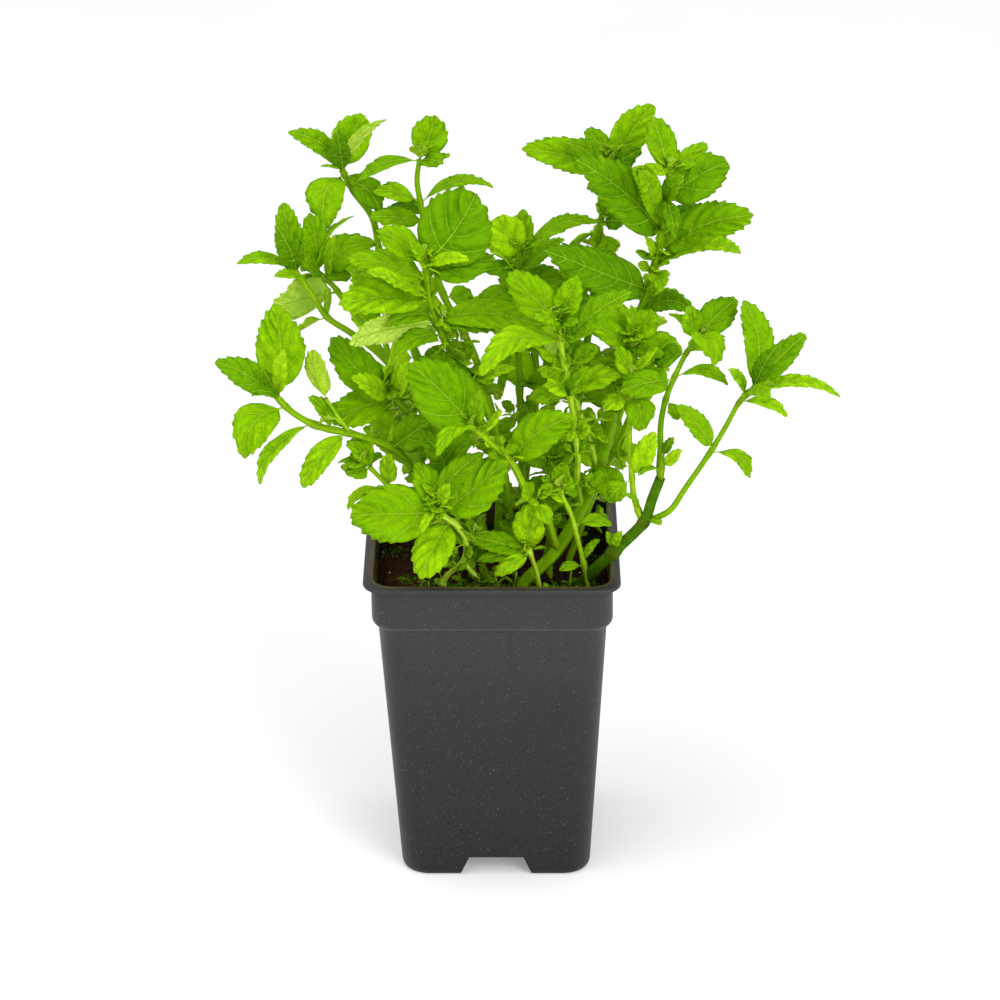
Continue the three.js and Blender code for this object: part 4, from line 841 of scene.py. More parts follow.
            (2, 26, 62, 26, 12, 40, 0.1), (3.2, 3, 55, 20, 5, 40, 0.1, -0.06, 0.4, 0.4),
            (4.2, 0.5, 115.5, 4, 3.5, 100, 0.05, 0.012, 0.2, 1)]},
    ],
    "stem_mid_right": [
        {"thick": (2.8, 1.8),
         "route": [(31, -11, 6), (42, 20, 8), (54, 45, 6), (58, 64, 0), (56, 78, -8)],
         "leaves": [(4, 65, 90, -8, 12, 15, 0.03), (4, 40, 86, -14, 10, 20, 0.03),
            (4, 48, 95, -4, 9, 10, 0), (4, 68, 73, -18, 10, 30, 0.1), (4, 56, 92, -16, 7, 20, 0),
            (3, 40, 70, -10, 10, 35, 0.1), (3, 70, 62, -8, 11, 30, 0.1), (2, 65, 53, 10, 12, 40, 0.1)]},
    ],
    "stem_low_centre": [
        {"thick": (2.4, 1.7),
         "route": [(23, -14.5, -3), (23, 8, -5), (24, 22, -8), (24, 30, -10)],
         "leaves": [(3, 12, 33, -16, 10, 25, 0.1, 0, 0.5, 0.05),
            (3, 35, 35, -14, 11, 25, 0.1, 0, 0.5, 0.05), (2, 15, 19, -16, 9, 30, 0.1, 0, 0.5, 0.15),
            (2, 32, 19, -10, 9, 30, 0.1), (3, 24, 44, -10, 8, 20, 0, 0, 0.4, 0.2)]},
    ],
    "stem_low_left": [
        {"thick": (2.2, 1.6),
         "route": [(-3, -15, -7), (-8, 4, -10), (-15, 20, -13), (-19, 29, -15)],
         "leaves": [(3, -9, 39, -20, 11, 25, 0.1, 0, 0.4, 0.3),
            (2.6, -29, 43, -27, 11, 25, 0.1, 0, 0.5, 0.1), (2, -35, 24, -10, 9, 35, 0.1),
            (2, -2, 28, -22, 9, 35, 0.1, 0, 0.4, 0.05), (3, -19, 42, -12, 8, 20, 0, 0, 0.4, 0.2)]},
    ],
    "sprout_front": [
        {"thick": (1.8, 1.5),
         "route": [(19, -21.5, -21.5), (17.5, -13, -24), (14.5, -5, -26)],
         "leaves": [(2, 17, 13.5, -30, 13, 10, 0.05, -0.048, 0.5, 0.7),
            (1.9, 1, -15.5, -34, 6.5, 20, 0.1, -0.03, 0.4, 0.7),
            (1.8, -9.5, 0, -28, 9.5, 20, 0.05, 0.018, 0.5, 0.3),
            (1.8, -6, -9, -30, 6, 30, 0.1, 0, 0.4, 0.2)]},
    ],
    "sprout_right": [
        {"thick": (1.8, 1.4),
         "route": [(38.5, -20.5, -19), (36.8, -11, -23), (34.3, -1, -26), (32, 8, -28), (27.5, 17.5, -29)],
         "leaves": [(2.6, 48, 5, -30, 7, 45, 0.12, -0.06, 0.3, 0.5), (3.4, 22, 20, -28, 5, 40, 0.1),
            (1, 43, -1, -24, 4, 40, 0.1, -0.09, 0.4, 0.6), (0.9, 27, -13, -26, 5, 40, 0.1, 0.06, 0.4, 0.5),
            (4, 31, 25, -30, 7, 20, 0, 0, 0.4, 0.5), (4, 22, 25, -28, 7, 30, 0, 0, 0.4, 0.3),
            (4, 27, 29, -26, 8, 10, 0, 0, 0.4, 0.5)]},
    ],
    "stem_back_middle": [
        {"thick": (3, 1.8),
         "route": [(12, -1, 30), (14, 30, 34), (18, 62, 38), (14, 92, 42), (10, 110, 44)],
         "leaves": [(1, -12, 42, 32, 15, 35, 0.08), (1.2, 36, 27, 40, 15, 35, 0.08),
            (1.6, 16, 40, 66, 14, 70, 0.1), (2, 1, 73, 32, 17, 25, 0.08), (2.1, 44, 74, 40, 17, 25, 0.08),
            (2.4, 22, 66, 68, 15, 70, 0.1), (3, -14, 90, 44, 15, 30, 0.08),
            (3.1, 38, 104, 40, 14, 30, 0.08), (3.4, 8, 100, 70, 14, 70, 0.1),
            (4, -3, 121, 50, 9, 40, 0.05), (4, 22, 119, 52, 9, 40, 0.05)]},
    ],
    "stem_back_left": [
        {"thick": (3, 1.8),
         "route": [(-20, -1, 32), (-28, 28, 40), (-36, 56, 46), (-44, 82, 50), (-49, 102, 52)],
         "leaves": [(1, -51, 44, 36, 15, 35, 0.08), (1.2, -8, 42, 46, 15, 40, 0.08),
            (1.6, -34, 34, 70, 14, 70, 0.1), (2, -60, 68, 42, 16, 25, 0.08),
            (2.1, -14, 66, 46, 16, 25, 0.08), (2.4, -38, 58, 74, 15, 70, 0.1),
            (3, -56, 93, 50, 14, 35, 0.08), (3.1, -22, 96, 48, 14, 30, 0.08),
            (3.4, -48, 84, 78, 14, 70, 0.1), (4, -62, 110, 56, 9, 40, 0.05),
            (4, -38, 112, 60, 9, 40, 0.05)]},
    ],
    "stem_back_low": [
        {"thick": (3, 1.8),
         "route": [(34, -1, 32), (44, 26, 40), (52, 52, 46), (58, 76, 50), (62, 94, 52)],
         "leaves": [(1, 27, 44, 46, 15, 35, 0.08), (1.2, 46, 50, 40, 14, 40, 0.08),
            (1.6, 50, 30, 70, 14, 70, 0.1), (2, 37, 62, 54, 15, 25, 0.08), (2.1, 65, 68, 42, 13, 35, 0.08),
            (2.4, 56, 52, 74, 15, 70, 0.1), (3, 36, 86, 54, 14, 35, 0.08), (3.1, 76, 74, 48, 13, 35, 0.08),
            (3.4, 62, 78, 78, 14, 70, 0.1), (4, 50, 102, 58, 9, 40, 0.05), (4, 66, 103, 50, 9, 40, 0.05)]},
    ],
}

# Shoots that end in a dry cut, shoots whose skin is older or younger than their width tells, and nodes that
# carry no side shoots.
DRY_CUTS = {"stem_right_low": (0,), "stem_main": (0,), "stem_front_left": (1,), "stem_left": (2,)}
AGES = {
    ("stem_right_low", 0): 1.0, ("stem_right_low", 1): 0.55, ("stem_right_low", 2): 0.55,
    ("stem_main", 0): 0.5, ("stem_main", 1): -0.05, ("stem_main", 2): -0.15, ("stem_main", 4): 0.15,
    ("stem_front_left", 0): -0.3, ("stem_front_left", 1): -0.35, ("stem_left", 0): 0.35,
    ("stem_upper_left", 0): 0.15, ("stem_mid_left", 0): 0.5, ("sprout_front", 0): -0.2,
}
BARE = ("stem_right_low", "stem_top_centre", "stem_upper_left", "stem_left", "stem_top_left")

# Stems: their skin's grooves and swollen joints, and how deep their feet stand in the soil.
STEM_SIDES = 12
STALK_SIDES = 5
STEM_STEP = 2.5
GROOVE = 0.17
NODE_SWELL = 0.28
NODE_REACH = 1.8
SCAR_LENGTH = 1.1
FOOT_SUNK = 9
FOOT_RISE = 2.6
FOOT_SPREAD = 1.1
FOOT_SCAR = 0.6
THINNEST_GREEN = 1.8
AGEING = 3
CUT_RIM = 0.35
CUT_DEPTH = 0.5

# Leaves: their outline's slender and blunt forms, teeth, veins and bulges, all as shares of the width or the
# length, or in millimetres.
SLENDER = (0.62, 0.82)
BLUNT = (0.54, 0.54)
FOLD = 0.16
SWEEP = 1.5
MOST_SWEEP = 0.88
MOST_DROOP = 0.09
DROOP_START = 0.6
WAVE = 0.05
TWIST = 0.32
VEIN_ARCHING = 0.4
VEIN_SPACING = 6.6
FEWEST_VEINS = 3
MOST_VEINS = 6
ROWS_A_VEIN = 8
QUILTING = 0.07
PUCKER = 0.016
PUCKER_SPACINGS = (1.3, 0.9)
TOOTH_DEPTH = 0.03
LEAST_TOOTH = 0.2
TOOTH_SPACING = 3.3
TOOTH_LEAN = 0.6
NARROWEST = 0.32
BLADE_THICKNESS = 0.32
STALK_THICKNESS = 0.55
STALK_GAP = 1.6
LONGEST_STALK = 0.4
STALK_AGE = 0.05

# Side shoots: how many leaves have a second one behind them or a shoot in their axil, and how far apart the
# pairs of shoots stand that grow from the bare lengths of a stem.
BEHIND = 0.4
AXIL_SHOOTS = 0.45
SIDE_SHOOT_START = 14
SIDE_SHOOT_END = 8
SIDE_SHOOT_SPACING = 13
SIDE_SHOOT_ROOM = 6
SMALLEST_LEAF = 4.5
SPRIG_WIDTH = 0.9
SPRIG_STEP = 2
SPRIG_AGE = 0.15
PATTERN_SPREAD = 50


def on_curve(points, share):
    """A place at a share of the spans of a smooth curve through points."""
    span = min(int(share * (len(points) - 1)), len(points) - 2)
    part = share * (len(points) - 1) - span
    b, c = points[span], points[span + 1]
    a = points[span - 1] if span else 2 * b - c
    d = points[span + 2] if span + 2 < len(points) else 2 * c - b
    ab, bc, cd = [math.sqrt(np.linalg.norm(q - p)) for p, q in ((a, b), (b, c), (c, d))]
    leave = ((b - a) / ab - (c - a) / (ab + bc) + (c - b) / bc) * bc
    reach = ((c - b) / bc - (d - b) / (bc + cd) + (d - c) / cd) * bc
    return (b + part * leave + part ** 2 * (3 * (c - b) - 2 * leave - reach)
            + part ** 3 * (2 * (b - c) + leave + reach))


def unit(direction):
    return direction / np.linalg.norm(direction)


def squared(direction, along):
    """What of a direction is square to another, at length 1."""
    return unit(direction - along * np.dot(direction, along))


def blank():
    """An empty shape with the two layers of the skins' patterns: places on the skin, and marks on it."""
    shape = bmesh.new()
    for layer in ("blade", "rib"):
        shape.verts.layers.float_vector.new(layer)
    return shape


grids = {}


def laid(across, rows, surface):
    """A grid laid on a surface, which gives places and both layers at -1 to 1 across and 0 to 1 along."""
    if (across, rows) not in grids:
        grids[across, rows] = blank()
        bmesh.ops.create_grid(grids[across, rows], x_segments=across, y_segments=rows, size=1)
    shape = grids[across, rows].copy()
    blades, ribs = [shape.verts.layers.float_vector[name] for name in ("blade", "rib")]
    flat = np.array([vertex.co for vertex in shape.verts])
    for vertex, place, blade, rib in zip(shape.verts, *surface(flat[:, 0], (flat[:, 1] + 1) / 2)):
        vertex.co = place
        vertex[blades] = blade
        vertex[ribs] = rib
    return shape


def join(whole, part):
    """Moves a part into a whole."""
    mesh = bpy.data.meshes.new("part")
    part.to_mesh(mesh)
    part.free()
    whole.from_mesh(mesh)
    bpy.data.meshes.remove(mesh)


def tube(shape, places, widths, number, age, square=True, scars=None):
    """Adds a stem or a stalk through places, closed at both ends."""
    count = len(places)
    tangents = [unit(places[min(i + 1, count - 1)] - places[max(i - 1, 0)]) for i in range(count)]
    across = squared(np.array((1.0, 0.3, 0.2)), tangents[0])
    frames = []
    for tangent in tangents:
        across = squared(across, tangent)
        frames.append((across, np.cross(tangent, across)))
    frames = np.array(frames)
    centres = np.array(places)
    radii = np.array(widths) / 2
    lengths = np.concatenate(([0], np.cumsum(np.linalg.norm(np.diff(centres, axis=0), axis=1))))

    def surface(x, y):
        ring = np.rint(y * (count - 1)).astype(int)
        angle = (x + 1) * math.pi
        ridge = np.cos(4 * angle) if square else np.ones(len(x))
        out = radii[ring] * ((1 + GROOVE * ridge) if square else 1)
        spots = (centres[ring] + frames[ring, 0] * (out * np.cos(angle))[:, None]
                 + frames[ring, 1] * (out * np.sin(angle))[:, None])
        blade = np.stack((angle * radii[ring], lengths[ring], np.full(len(x), number * 7.3)), axis=1)
        marks = np.zeros(len(x)) if scars is None else scars[ring]
        rib = np.stack((ridge, np.full(len(x), age), marks), axis=1)
        return spots, blade, rib

    part = laid(STEM_SIDES if square else STALK_SIDES, count - 1, surface)
    bmesh.ops.remove_doubles(part, verts=part.verts, dist=0.0001)
    bmesh.ops.holes_fill(part, edges=[edge for edge in part.edges if edge.is_boundary])
    bmesh.ops.recalc_face_normals(part, faces=part.faces)
    join(shape, part)


def blade(shape, stalks, base, tip, up, width, arch, start, tone, bend=0.0, blunt=0.3):
    """Adds a leaf: a toothed, quilted blade from start, a share of its length, and the stalk it ends in."""
    number = chance.random() * PATTERN_SPREAD
    length = np.linalg.norm(tip - base)
    along = unit(tip - base)
    up = squared(up, along)
    side = np.cross(along, up)
    start = min(start, LONGEST_STALK)
    run = length * (1 - start)
    veins = int(min(max(round(run / VEIN_SPACING), FEWEST_VEINS), MOST_VEINS))
    rows_a_vein = ROWS_A_VEIN // (1 if run > 15 else 2 if run > 8 else 4)
    across = 12 if run > 22 else 8 if run > 11 else 4
    twist, wave = (chance.uniform(-1, 1) for _ in range(2))
    wave_place, pucker_a, pucker_b = (chance.random() * 6 for _ in range(3))
    foot_power, tip_power = (mix(low, high, blunt) for low, high in zip(SLENDER, BLUNT))
    widest = foot_power / (foot_power + tip_power)
    fullness = widest ** foot_power * (1 - widest) ** tip_power
    forward = min(SWEEP * width / run, MOST_SWEEP)
    quilting = QUILTING * (1.5 if run < 20 else 1)
    droop = chance.uniform(0.0, MOST_DROOP)
    fold = FOLD * (1 + 0.5 * wave)

    def rise(share):
        drooped = np.maximum(share - DROOP_START, 0) ** 2 / (1 - DROOP_START) ** 2
        return arch * length * 4 * share * (1 - share) - droop * length * drooped

    def surface(x, y):
        # The rows sweep forward from the midrib to the edge, as the side veins do.
        far = np.abs(x)
        sweep = forward * (1 - y) * (1 - np.exp(-4 * y))
        swept = y + sweep * far * (1 - VEIN_ARCHING + VEIN_ARCHING * far ** 2)
        share = start + (1 - start) * np.clip(swept, 0, 1)
        edge = np.clip(y + sweep, 0, 1)
        half = edge ** foot_power * (1 - edge) ** tip_power / fullness * width / 2
        # Teeth that point to the tip stand along the edge, but not at the stalk and the tip.
        phase = (edge * run / min(TOOTH_SPACING, run / 5) + wave_place) % 1
        toothed = np.clip(np.minimum((y - 0.08) * 10, (0.98 - y) * 14), 0, 1) * far ** 6
        depth = (TOOTH_DEPTH * width + LEAST_TOOTH) * toothed * (0.5 if run < 9 else 1)
        out = x * (np.maximum(half, NARROWEST) + depth * (1.5 * phase - 0.5))
        # The blade arches and folds, bulges between its veins, waves at its edge and is finely puckered.
        between = np.sin(math.pi * y * veins) ** 2 * np.clip(2.4 * far * (1 - far ** 3), 0, 1)
        lift = rise(share) + fold * np.abs(out) * (1.2 - 0.75 * far ** 2)
        lift += quilting * width * between * np.clip(4 * (1 - y), 0, 1)
        lift += WAVE * width * wave * far ** 2 * np.sin(y * 9 + wave_place + np.sign(x))
        lift += PUCKER * width * far * np.sin(y * run / PUCKER_SPACINGS[0] + pucker_a + 3 * x)
        lift += PUCKER * width * far * np.sin(y * run / PUCKER_SPACINGS[1] + pucker_b - 2.5 * x)
        # It twists towards its tip and bends aside.
        angle = TWIST * twist * (share - 0.3)
        right = out * np.cos(angle) + bend * length * 4 * share * (1 - share)
        lift = lift + out * np.sin(angle)
        further = share * length + depth * (phase > 0.6) * TOOTH_LEAN
        spots = base + np.outer(further, along) + np.outer(right, side) + np.outer(lift, up)
        pattern = np.stack((out, swept * run, np.full(len(x), number)), axis=1)
        rib = np.stack((y * veins, far, np.full(len(x), tone)), axis=1)
        return spots, pattern, rib

    join(shape, laid(across, rows_a_vein * veins, surface))
    # The stalk runs on under the blade as its midrib.
    reach = start + (1 - start) * (0.85 if run > 8 else 0.15)
    shares = np.linspace(0, reach, 9 if run > 8 else 4)
    below = np.clip((shares - start * 0.6) / (start + 0.02), 0, 1)
    heights = rise(shares) * np.clip(shares / max(start, 0.01), 0, 1) - below * 0.3
    shifts = bend * length * 4 * shares * (1 - shares)
    line = base + np.outer(shares * length, along) + np.outer(heights, up) + np.outer(shifts, side)
    thick = STALK_THICKNESS * (0.6 + width / 22)
    tube(stalks, list(line), thick * (1.15 - 0.85 * shares / reach), number, STALK_AGE, square=False)


def aimless(up):
    """A direction that points any way across, and a little up."""
    return np.array((chance.uniform(-1, 1), chance.uniform(-1, 1), up))


def pair(leaves, stems, place, along, across, length, lean, stem_width, tone):
    """Adds two opposite leaves that lean out from a stem, their upper faces towards its tip."""
    for hand in (1, -1):
        lean_here = lean + chance.uniform(-0.15, 0.15)
        size = length * chance.uniform(0.85, 1.12)
        heading = along * math.cos(lean_here) + across * hand * math.sin(lean_here)
        heading = unit(heading + np.array([chance.uniform(-0.12, 0.12) for _ in range(3)]))
        up = squared(along + sky * 0.2, heading)
        blade(leaves, stems, place, place + heading * size, up, size * chance.uniform(0.55, 0.72),
              chance.uniform(0.02, 0.1), (stem_width / 2 + 0.5 + size * 0.06) / size, tone,
              chance.uniform(-0.06, 0.06), chance.uniform(0.3, 0.7))


def tuft(leaves, stems, place, along, across, length, stem_width, tone):
    """Adds the young leaves at a shoot's tip: crossed pairs, each smaller and more upright."""
    lean = 0.8
    while length > SMALLEST_LEAF:
        pair(leaves, stems, place, along, across, length, lean, stem_width, tone)
        across = np.cross(along, across)
        place = place + along * length * 0.1
        length *= 0.68
        lean *= 0.62
        tone = min(tone + 0.08, 1)


def sprig(leaves, stems, place, heading, length, size, tone):
    """Adds a short side shoot that curves up, with pairs of leaves and a tuft."""
    width = SPRIG_WIDTH + length * 0.025
    points = [place]
    headings = [unit(heading)]
    steps = max(int(length / SPRIG_STEP), 2)
    for _ in range(steps):
        headings.append(unit(headings[-1] + sky * 0.12))
        points.append(points[-1] + headings[-1] * length / steps)
    number = chance.random() * PATTERN_SPREAD
    tube(stems, points, list(np.linspace(width, width * 0.7, len(points))), number, SPRIG_AGE)
    across = squared(aimless(0.1), headings[-1])
    for share in np.arange(0.4, 0.95, max(7 / length, 0.3)):
        step = int(share * steps)
        pair(leaves, stems, points[step], headings[step], across, size * (1.05 - 0.25 * share), 1.0, width,
             tone)
        across = np.cross(headings[-1], across)
    tuft(leaves, stems, points[-1], headings[-1], across, size * 0.72, width, tone + 0.1)


# Living mint leaf: soft satin green that lets light through, quilted by sunken veins, and yellower where it
# is young. Its back is paler and matt, with the veins raised.
LEAF_CLOUD = 4
LEAF_GRAIN = 0.417
LEAF_NET = 2.5
LEAF_BULGE = 2.63
LEAF_DEPTH = 0.8
MIDRIB_EDGE = (0.1, 0.42)
MIDRIB_HOLLOW = (0.2, 2.2)
SIDE_VEIN_EDGE = (0.01, 0.065)


def leaf_skin(name, colour, stops, vein_colour, net_colour, relief, through):
    """A leaf's material: its tones, its veins' colours, its relief and the share of light let through."""
    made, tree, shader = material(name, colour)
    soft = {"interpolation_type": "SMOOTHSTEP"}
    spread = add(tree, "Attribute", {"attribute_name": "blade"}).outputs["Vector"]
    rib = add(tree, "Attribute", {"attribute_name": "rib"}).outputs["Vector"]
    rib = add(tree, "SeparateXYZ", Vector=rib)
    across = add(tree, "SeparateXYZ", Vector=spread).outputs["X"]

    # The side veins fade towards the edge, and a fine net lies between them.
    cell = add(tree, "Math", i0=rib.outputs["X"], i1=0.5).outputs[0]
    cell = add(tree, "Math", {"operation": "FRACT"}, i0=cell).outputs[0]
    aside = add(tree, "Math", {"operation": "SUBTRACT"}, i0=cell, i1=0.5).outputs[0]
    aside = add(tree, "Math", {"operation": "ABSOLUTE"}, i0=aside).outputs[0]
    lateral = add(tree, "MapRange", soft, Value=aside, From_Min=SIDE_VEIN_EDGE[0],
                  From_Max=SIDE_VEIN_EDGE[1], To_Min=1.0, To_Max=0.0).outputs[0]
    fading = add(tree, "MapRange", Value=rib.outputs["Y"], From_Min=0.5, To_Min=1.0, To_Max=0.25).outputs[0]
    lateral = add(tree, "Math", {"operation": "MULTIPLY"}, i0=lateral, i1=fading).outputs[0]
    middle = add(tree, "Math", {"operation": "ABSOLUTE"}, i0=across).outputs[0]
    midrib = add(tree, "MapRange", soft, Value=middle, From_Min=MIDRIB_EDGE[0], From_Max=MIDRIB_EDGE[1],
                 To_Min=1.0, To_Max=0.0).outputs[0]
    veins = add(tree, "Math", {"operation": "MAXIMUM"}, i0=lateral, i1=midrib).outputs[0]
    mesh = add(tree, "TexVoronoi", {"feature": "DISTANCE_TO_EDGE"}, Vector=spread, Scale=1 / LEAF_NET)
    net = add(tree, "MapRange", Value=mesh.outputs["Distance"], From_Max=0.11, To_Min=1.0,
              To_Max=0.0).outputs[0]

    # Painted light and shade: the tone is lighter on the bulges, and darker beside the side veins and along
    # the midrib. It is lined with the paler veins.
    painted_vein_shade = add(tree, "MapRange", soft, Value=aside, From_Max=0.3, To_Min=-0.07, To_Max=0.04).outputs[0]
    hollow = add(tree, "MapRange", Value=middle, From_Min=MIDRIB_HOLLOW[0], From_Max=MIDRIB_HOLLOW[1],
                 To_Min=-0.1, To_Max=0.0).outputs[0]
    painted_vein_shade = add(tree, "Math", i0=painted_vein_shade, i1=hollow).outputs[0]
    clouds = add(tree, "TexNoise", Vector=spread, Scale=1 / LEAF_CLOUD, Detail=3.0).outputs[0]
    tone = add(tree, "Math", i0=rib.outputs["Z"], i1=painted_vein_shade).outputs[0]
    tone = add(tree, "Math", {"operation": "MULTIPLY_ADD"}, i0=clouds, i1=0.5, i2=tone).outputs[0]
    green = ramp(tree, tone, list(zip((0.25, 0.75, 1.0), stops)))
    netted = add(tree, "Math", {"operation": "MULTIPLY"}, i0=net, i1=0.3).outputs[0]
    netted = add(tree, "Mix", {"data_type": "RGBA"}, i0=netted, i6=green, i7=linear(net_colour)).outputs[2]
    lined = add(tree, "Math", {"operation": "MULTIPLY"}, i0=veins, i1=0.46).outputs[0]
    lined = add(tree, "Mix", {"data_type": "RGBA"}, i0=lined, i6=netted, i7=linear(vein_colour)).outputs[2]

    # The relief has small bulges, the veins and their net, and a fine grain.
    grain = add(tree, "TexNoise", Vector=spread, Scale=1 / LEAF_GRAIN, Detail=2.0).outputs[0]
    bulges = add(tree, "TexVoronoi", {"feature": "SMOOTH_F1"}, Vector=spread, Scale=1 / LEAF_BULGE)
    height = add(tree, "Math", {"operation": "MULTIPLY"}, i0=veins, i1=0.35).outputs[0]
    for part, weight in ((bulges.outputs["Distance"], 1.6), (net, 0.25), (grain, -0.4)):
        height = add(tree, "Math", {"operation": "MULTIPLY_ADD"}, i0=part, i1=weight, i2=height).outputs[0]
    bump = add(tree, "Bump", {"invert": relief < 0}, Strength=abs(relief), Distance=LEAF_DEPTH / 1000,
               Height=height).outputs[0]
    feed(tree, shader, Base_Color=lined, Roughness=0.6, Specular_IOR_Level=0.05, Normal=bump)
    glow = add(tree, "BsdfTranslucent", Color=lined).outputs[0]
    mixed = add(tree, "MixShader", i0=through, i1=shader.outputs[0], i2=glow).outputs[0]
    feed(tree, tree.nodes["Material Output"], Surface=mixed)
    return made


leaf_face = leaf_skin("mint_leaf_face", 0x76A800, (0x5A9400, 0x8AC200, 0xB2E40C), 0xC8EC3C, 0x8CBC10,
                      -1.0, 0.25)
leaf_back = leaf_skin("mint_leaf_back", 0x9CC448, (0xA2D40C, 0xBEE42C, 0xDCF464), 0xE2F67C, 0xA0D01C,
                      0.8, 0.3)

# Mint stem: a juicy green skin, duller where it is old, with painted shade in its grooves, with fine fibres
# along it and small brown specks and scars.
STEM_CLOUD = 2.86
FIBRE_WIDTH = 0.455
FIBRE_LENGTH = 6.25
SPECK_SPACING = 2
STEM_DEPTH = 0.4
stem_skin, tree, shader = material("mint_stem_skin", 0x7BAA2A)
spread = add(tree, "Attribute", {"attribute_name": "blade"}).outputs["Vector"]
rib = add(tree, "Attribute", {"attribute_name": "rib"}).outputs["Vector"]
rib = add(tree, "SeparateXYZ", Vector=rib)
clouds = add(tree, "TexNoise", Vector=spread, Scale=1 / STEM_CLOUD, Detail=4.0).outputs[0]
shade = add(tree, "Math", {"operation": "MULTIPLY_ADD"}, i0=clouds, i1=0.5, i2=rib.outputs["Y"]).outputs[0]
shade = add(tree, "MapRange", Value=shade, From_Min=-0.25, From_Max=1.35).outputs[0]
green = ramp(tree, shade, [(0.1, 0xD2F848), (0.32, 0xA2CC16), (0.6, 0x80B200), (0.95, 0x3A6400)])
# Painted shade: the skin is darkened in the grooves between its corners.
painted_groove_shade = add(tree, "MapRange", Value=rib.outputs["X"], From_Min=-1.0, From_Max=0.6, To_Min=0.34,
             To_Max=0.0).outputs[0]
green = add(tree, "Mix", {"data_type": "RGBA"}, i0=painted_groove_shade, i6=green, i7=linear(0x3C5E00)).outputs[2]
fibres = add(tree, "Mapping", Vector=spread, Scale=(1 / FIBRE_WIDTH, 1 / FIBRE_LENGTH, 1.0)).outputs[0]
fibres = add(tree, "TexNoise", Vector=fibres, Scale=1.0, Detail=3.0).outputs[0]
streak = add(tree, "MapRange", Value=fibres, From_Min=0.5, From_Max=0.72, To_Max=0.3).outputs[0]
green = add(tree, "Mix", {"data_type": "RGBA"}, i0=streak, i6=green, i7=linear(0x4A6E06)).outputs[2]
old = add(tree, "MapRange", Value=rib.outputs["Y"], From_Min=-0.1, To_Min=0.1, To_Max=0.75).outputs[0]
specks = add(tree, "TexVoronoi", Vector=spread, Scale=1 / SPECK_SPACING)
speck = add(tree, "MapRange", Value=specks.outputs["Distance"], From_Min=0.1, From_Max=0.24, To_Min=1.0,
            To_Max=0.0).outputs[0]
speck = add(tree, "Math", {"operation": "MULTIPLY"}, i0=speck, i1=old).outputs[0]
scar = add(tree, "Math", {"operation": "MULTIPLY"}, i0=rib.outputs["Z"], i1=old).outputs[0]
scar = add(tree, "Math", {"operation": "MULTIPLY"}, i0=scar, i1=0.7).outputs[0]
browned = add(tree, "Math", {"operation": "MAXIMUM"}, i0=speck, i1=scar).outputs[0]
finish = add(tree, "Mix", {"data_type": "RGBA"}, i0=browned, i6=green, i7=linear(0x4A3A10)).outputs[2]
relief = add(tree, "Math", {"operation": "MULTIPLY_ADD"}, i0=fibres, i1=0.8, i2=clouds).outputs[0]
bump = add(tree, "Bump", Strength=0.6, Distance=STEM_DEPTH / 1000, Height=relief).outputs[0]
feed(tree, shader, Base_Color=finish, Roughness=0.6, Specular_IOR_Level=0.06, Normal=bump)

# A dry cut: the stem's pith and ring, browned and sunk a little inside its skin.
PITH_CLOUD = 1.11
dry_cut = clouded("dried_cut_end", 0x8A6A34, PITH_CLOUD, 3.0,
                  [(0.3, 0x4A3010), (0.55, 0x8A6A34), (0.75, 0xB09A5C)],
                  Roughness=0.9, Specular_IOR_Level=0.05)

chance = random.Random(23)


def grow_stem(stems, route, thick, joints, length, age, planted):
    """Adds a stem along its route, swollen and scarred at its joints, and gives its places."""
    shares = np.linspace(0, 1, math.ceil(length / STEM_STEP) + 1)
    places = [on_curve(route, share) for share in shares]
    widths = mix(thick[0], thick[1], shares)
    scars = np.zeros(len(shares))
    for joint in joints:
        away = (shares - joint) * length
        widths = widths * (1 + NODE_SWELL * np.exp(-(away / NODE_REACH) ** 2))
        scars = np.maximum(scars, np.exp(-(away / SCAR_LENGTH) ** 2))
    if planted:
        foot = route[0].copy()
        foot[2] = soil_top - FOOT_SUNK
        places.insert(0, foot)
        widths = np.concatenate(([widths[0] * FOOT_SPREAD], widths))
        scars = np.concatenate(([FOOT_SCAR], scars))
    tube(stems, places, widths, chance.random() * PATTERN_SPREAD, age, scars=scars)
    return places


def cut_off(stems, tip):
    """Turns a stem's end into a dry cut, sunk inside its rim."""
    ends = [face for face in stems.faces if len(face.verts) > 4]
    end = min(ends, key=lambda face: (face.calc_center_median() - Vector(tip)).length)
    end.material_index = 1
    bmesh.ops.inset_individual(stems, faces=[end], thickness=CUT_RIM, depth=-CUT_DEPTH)


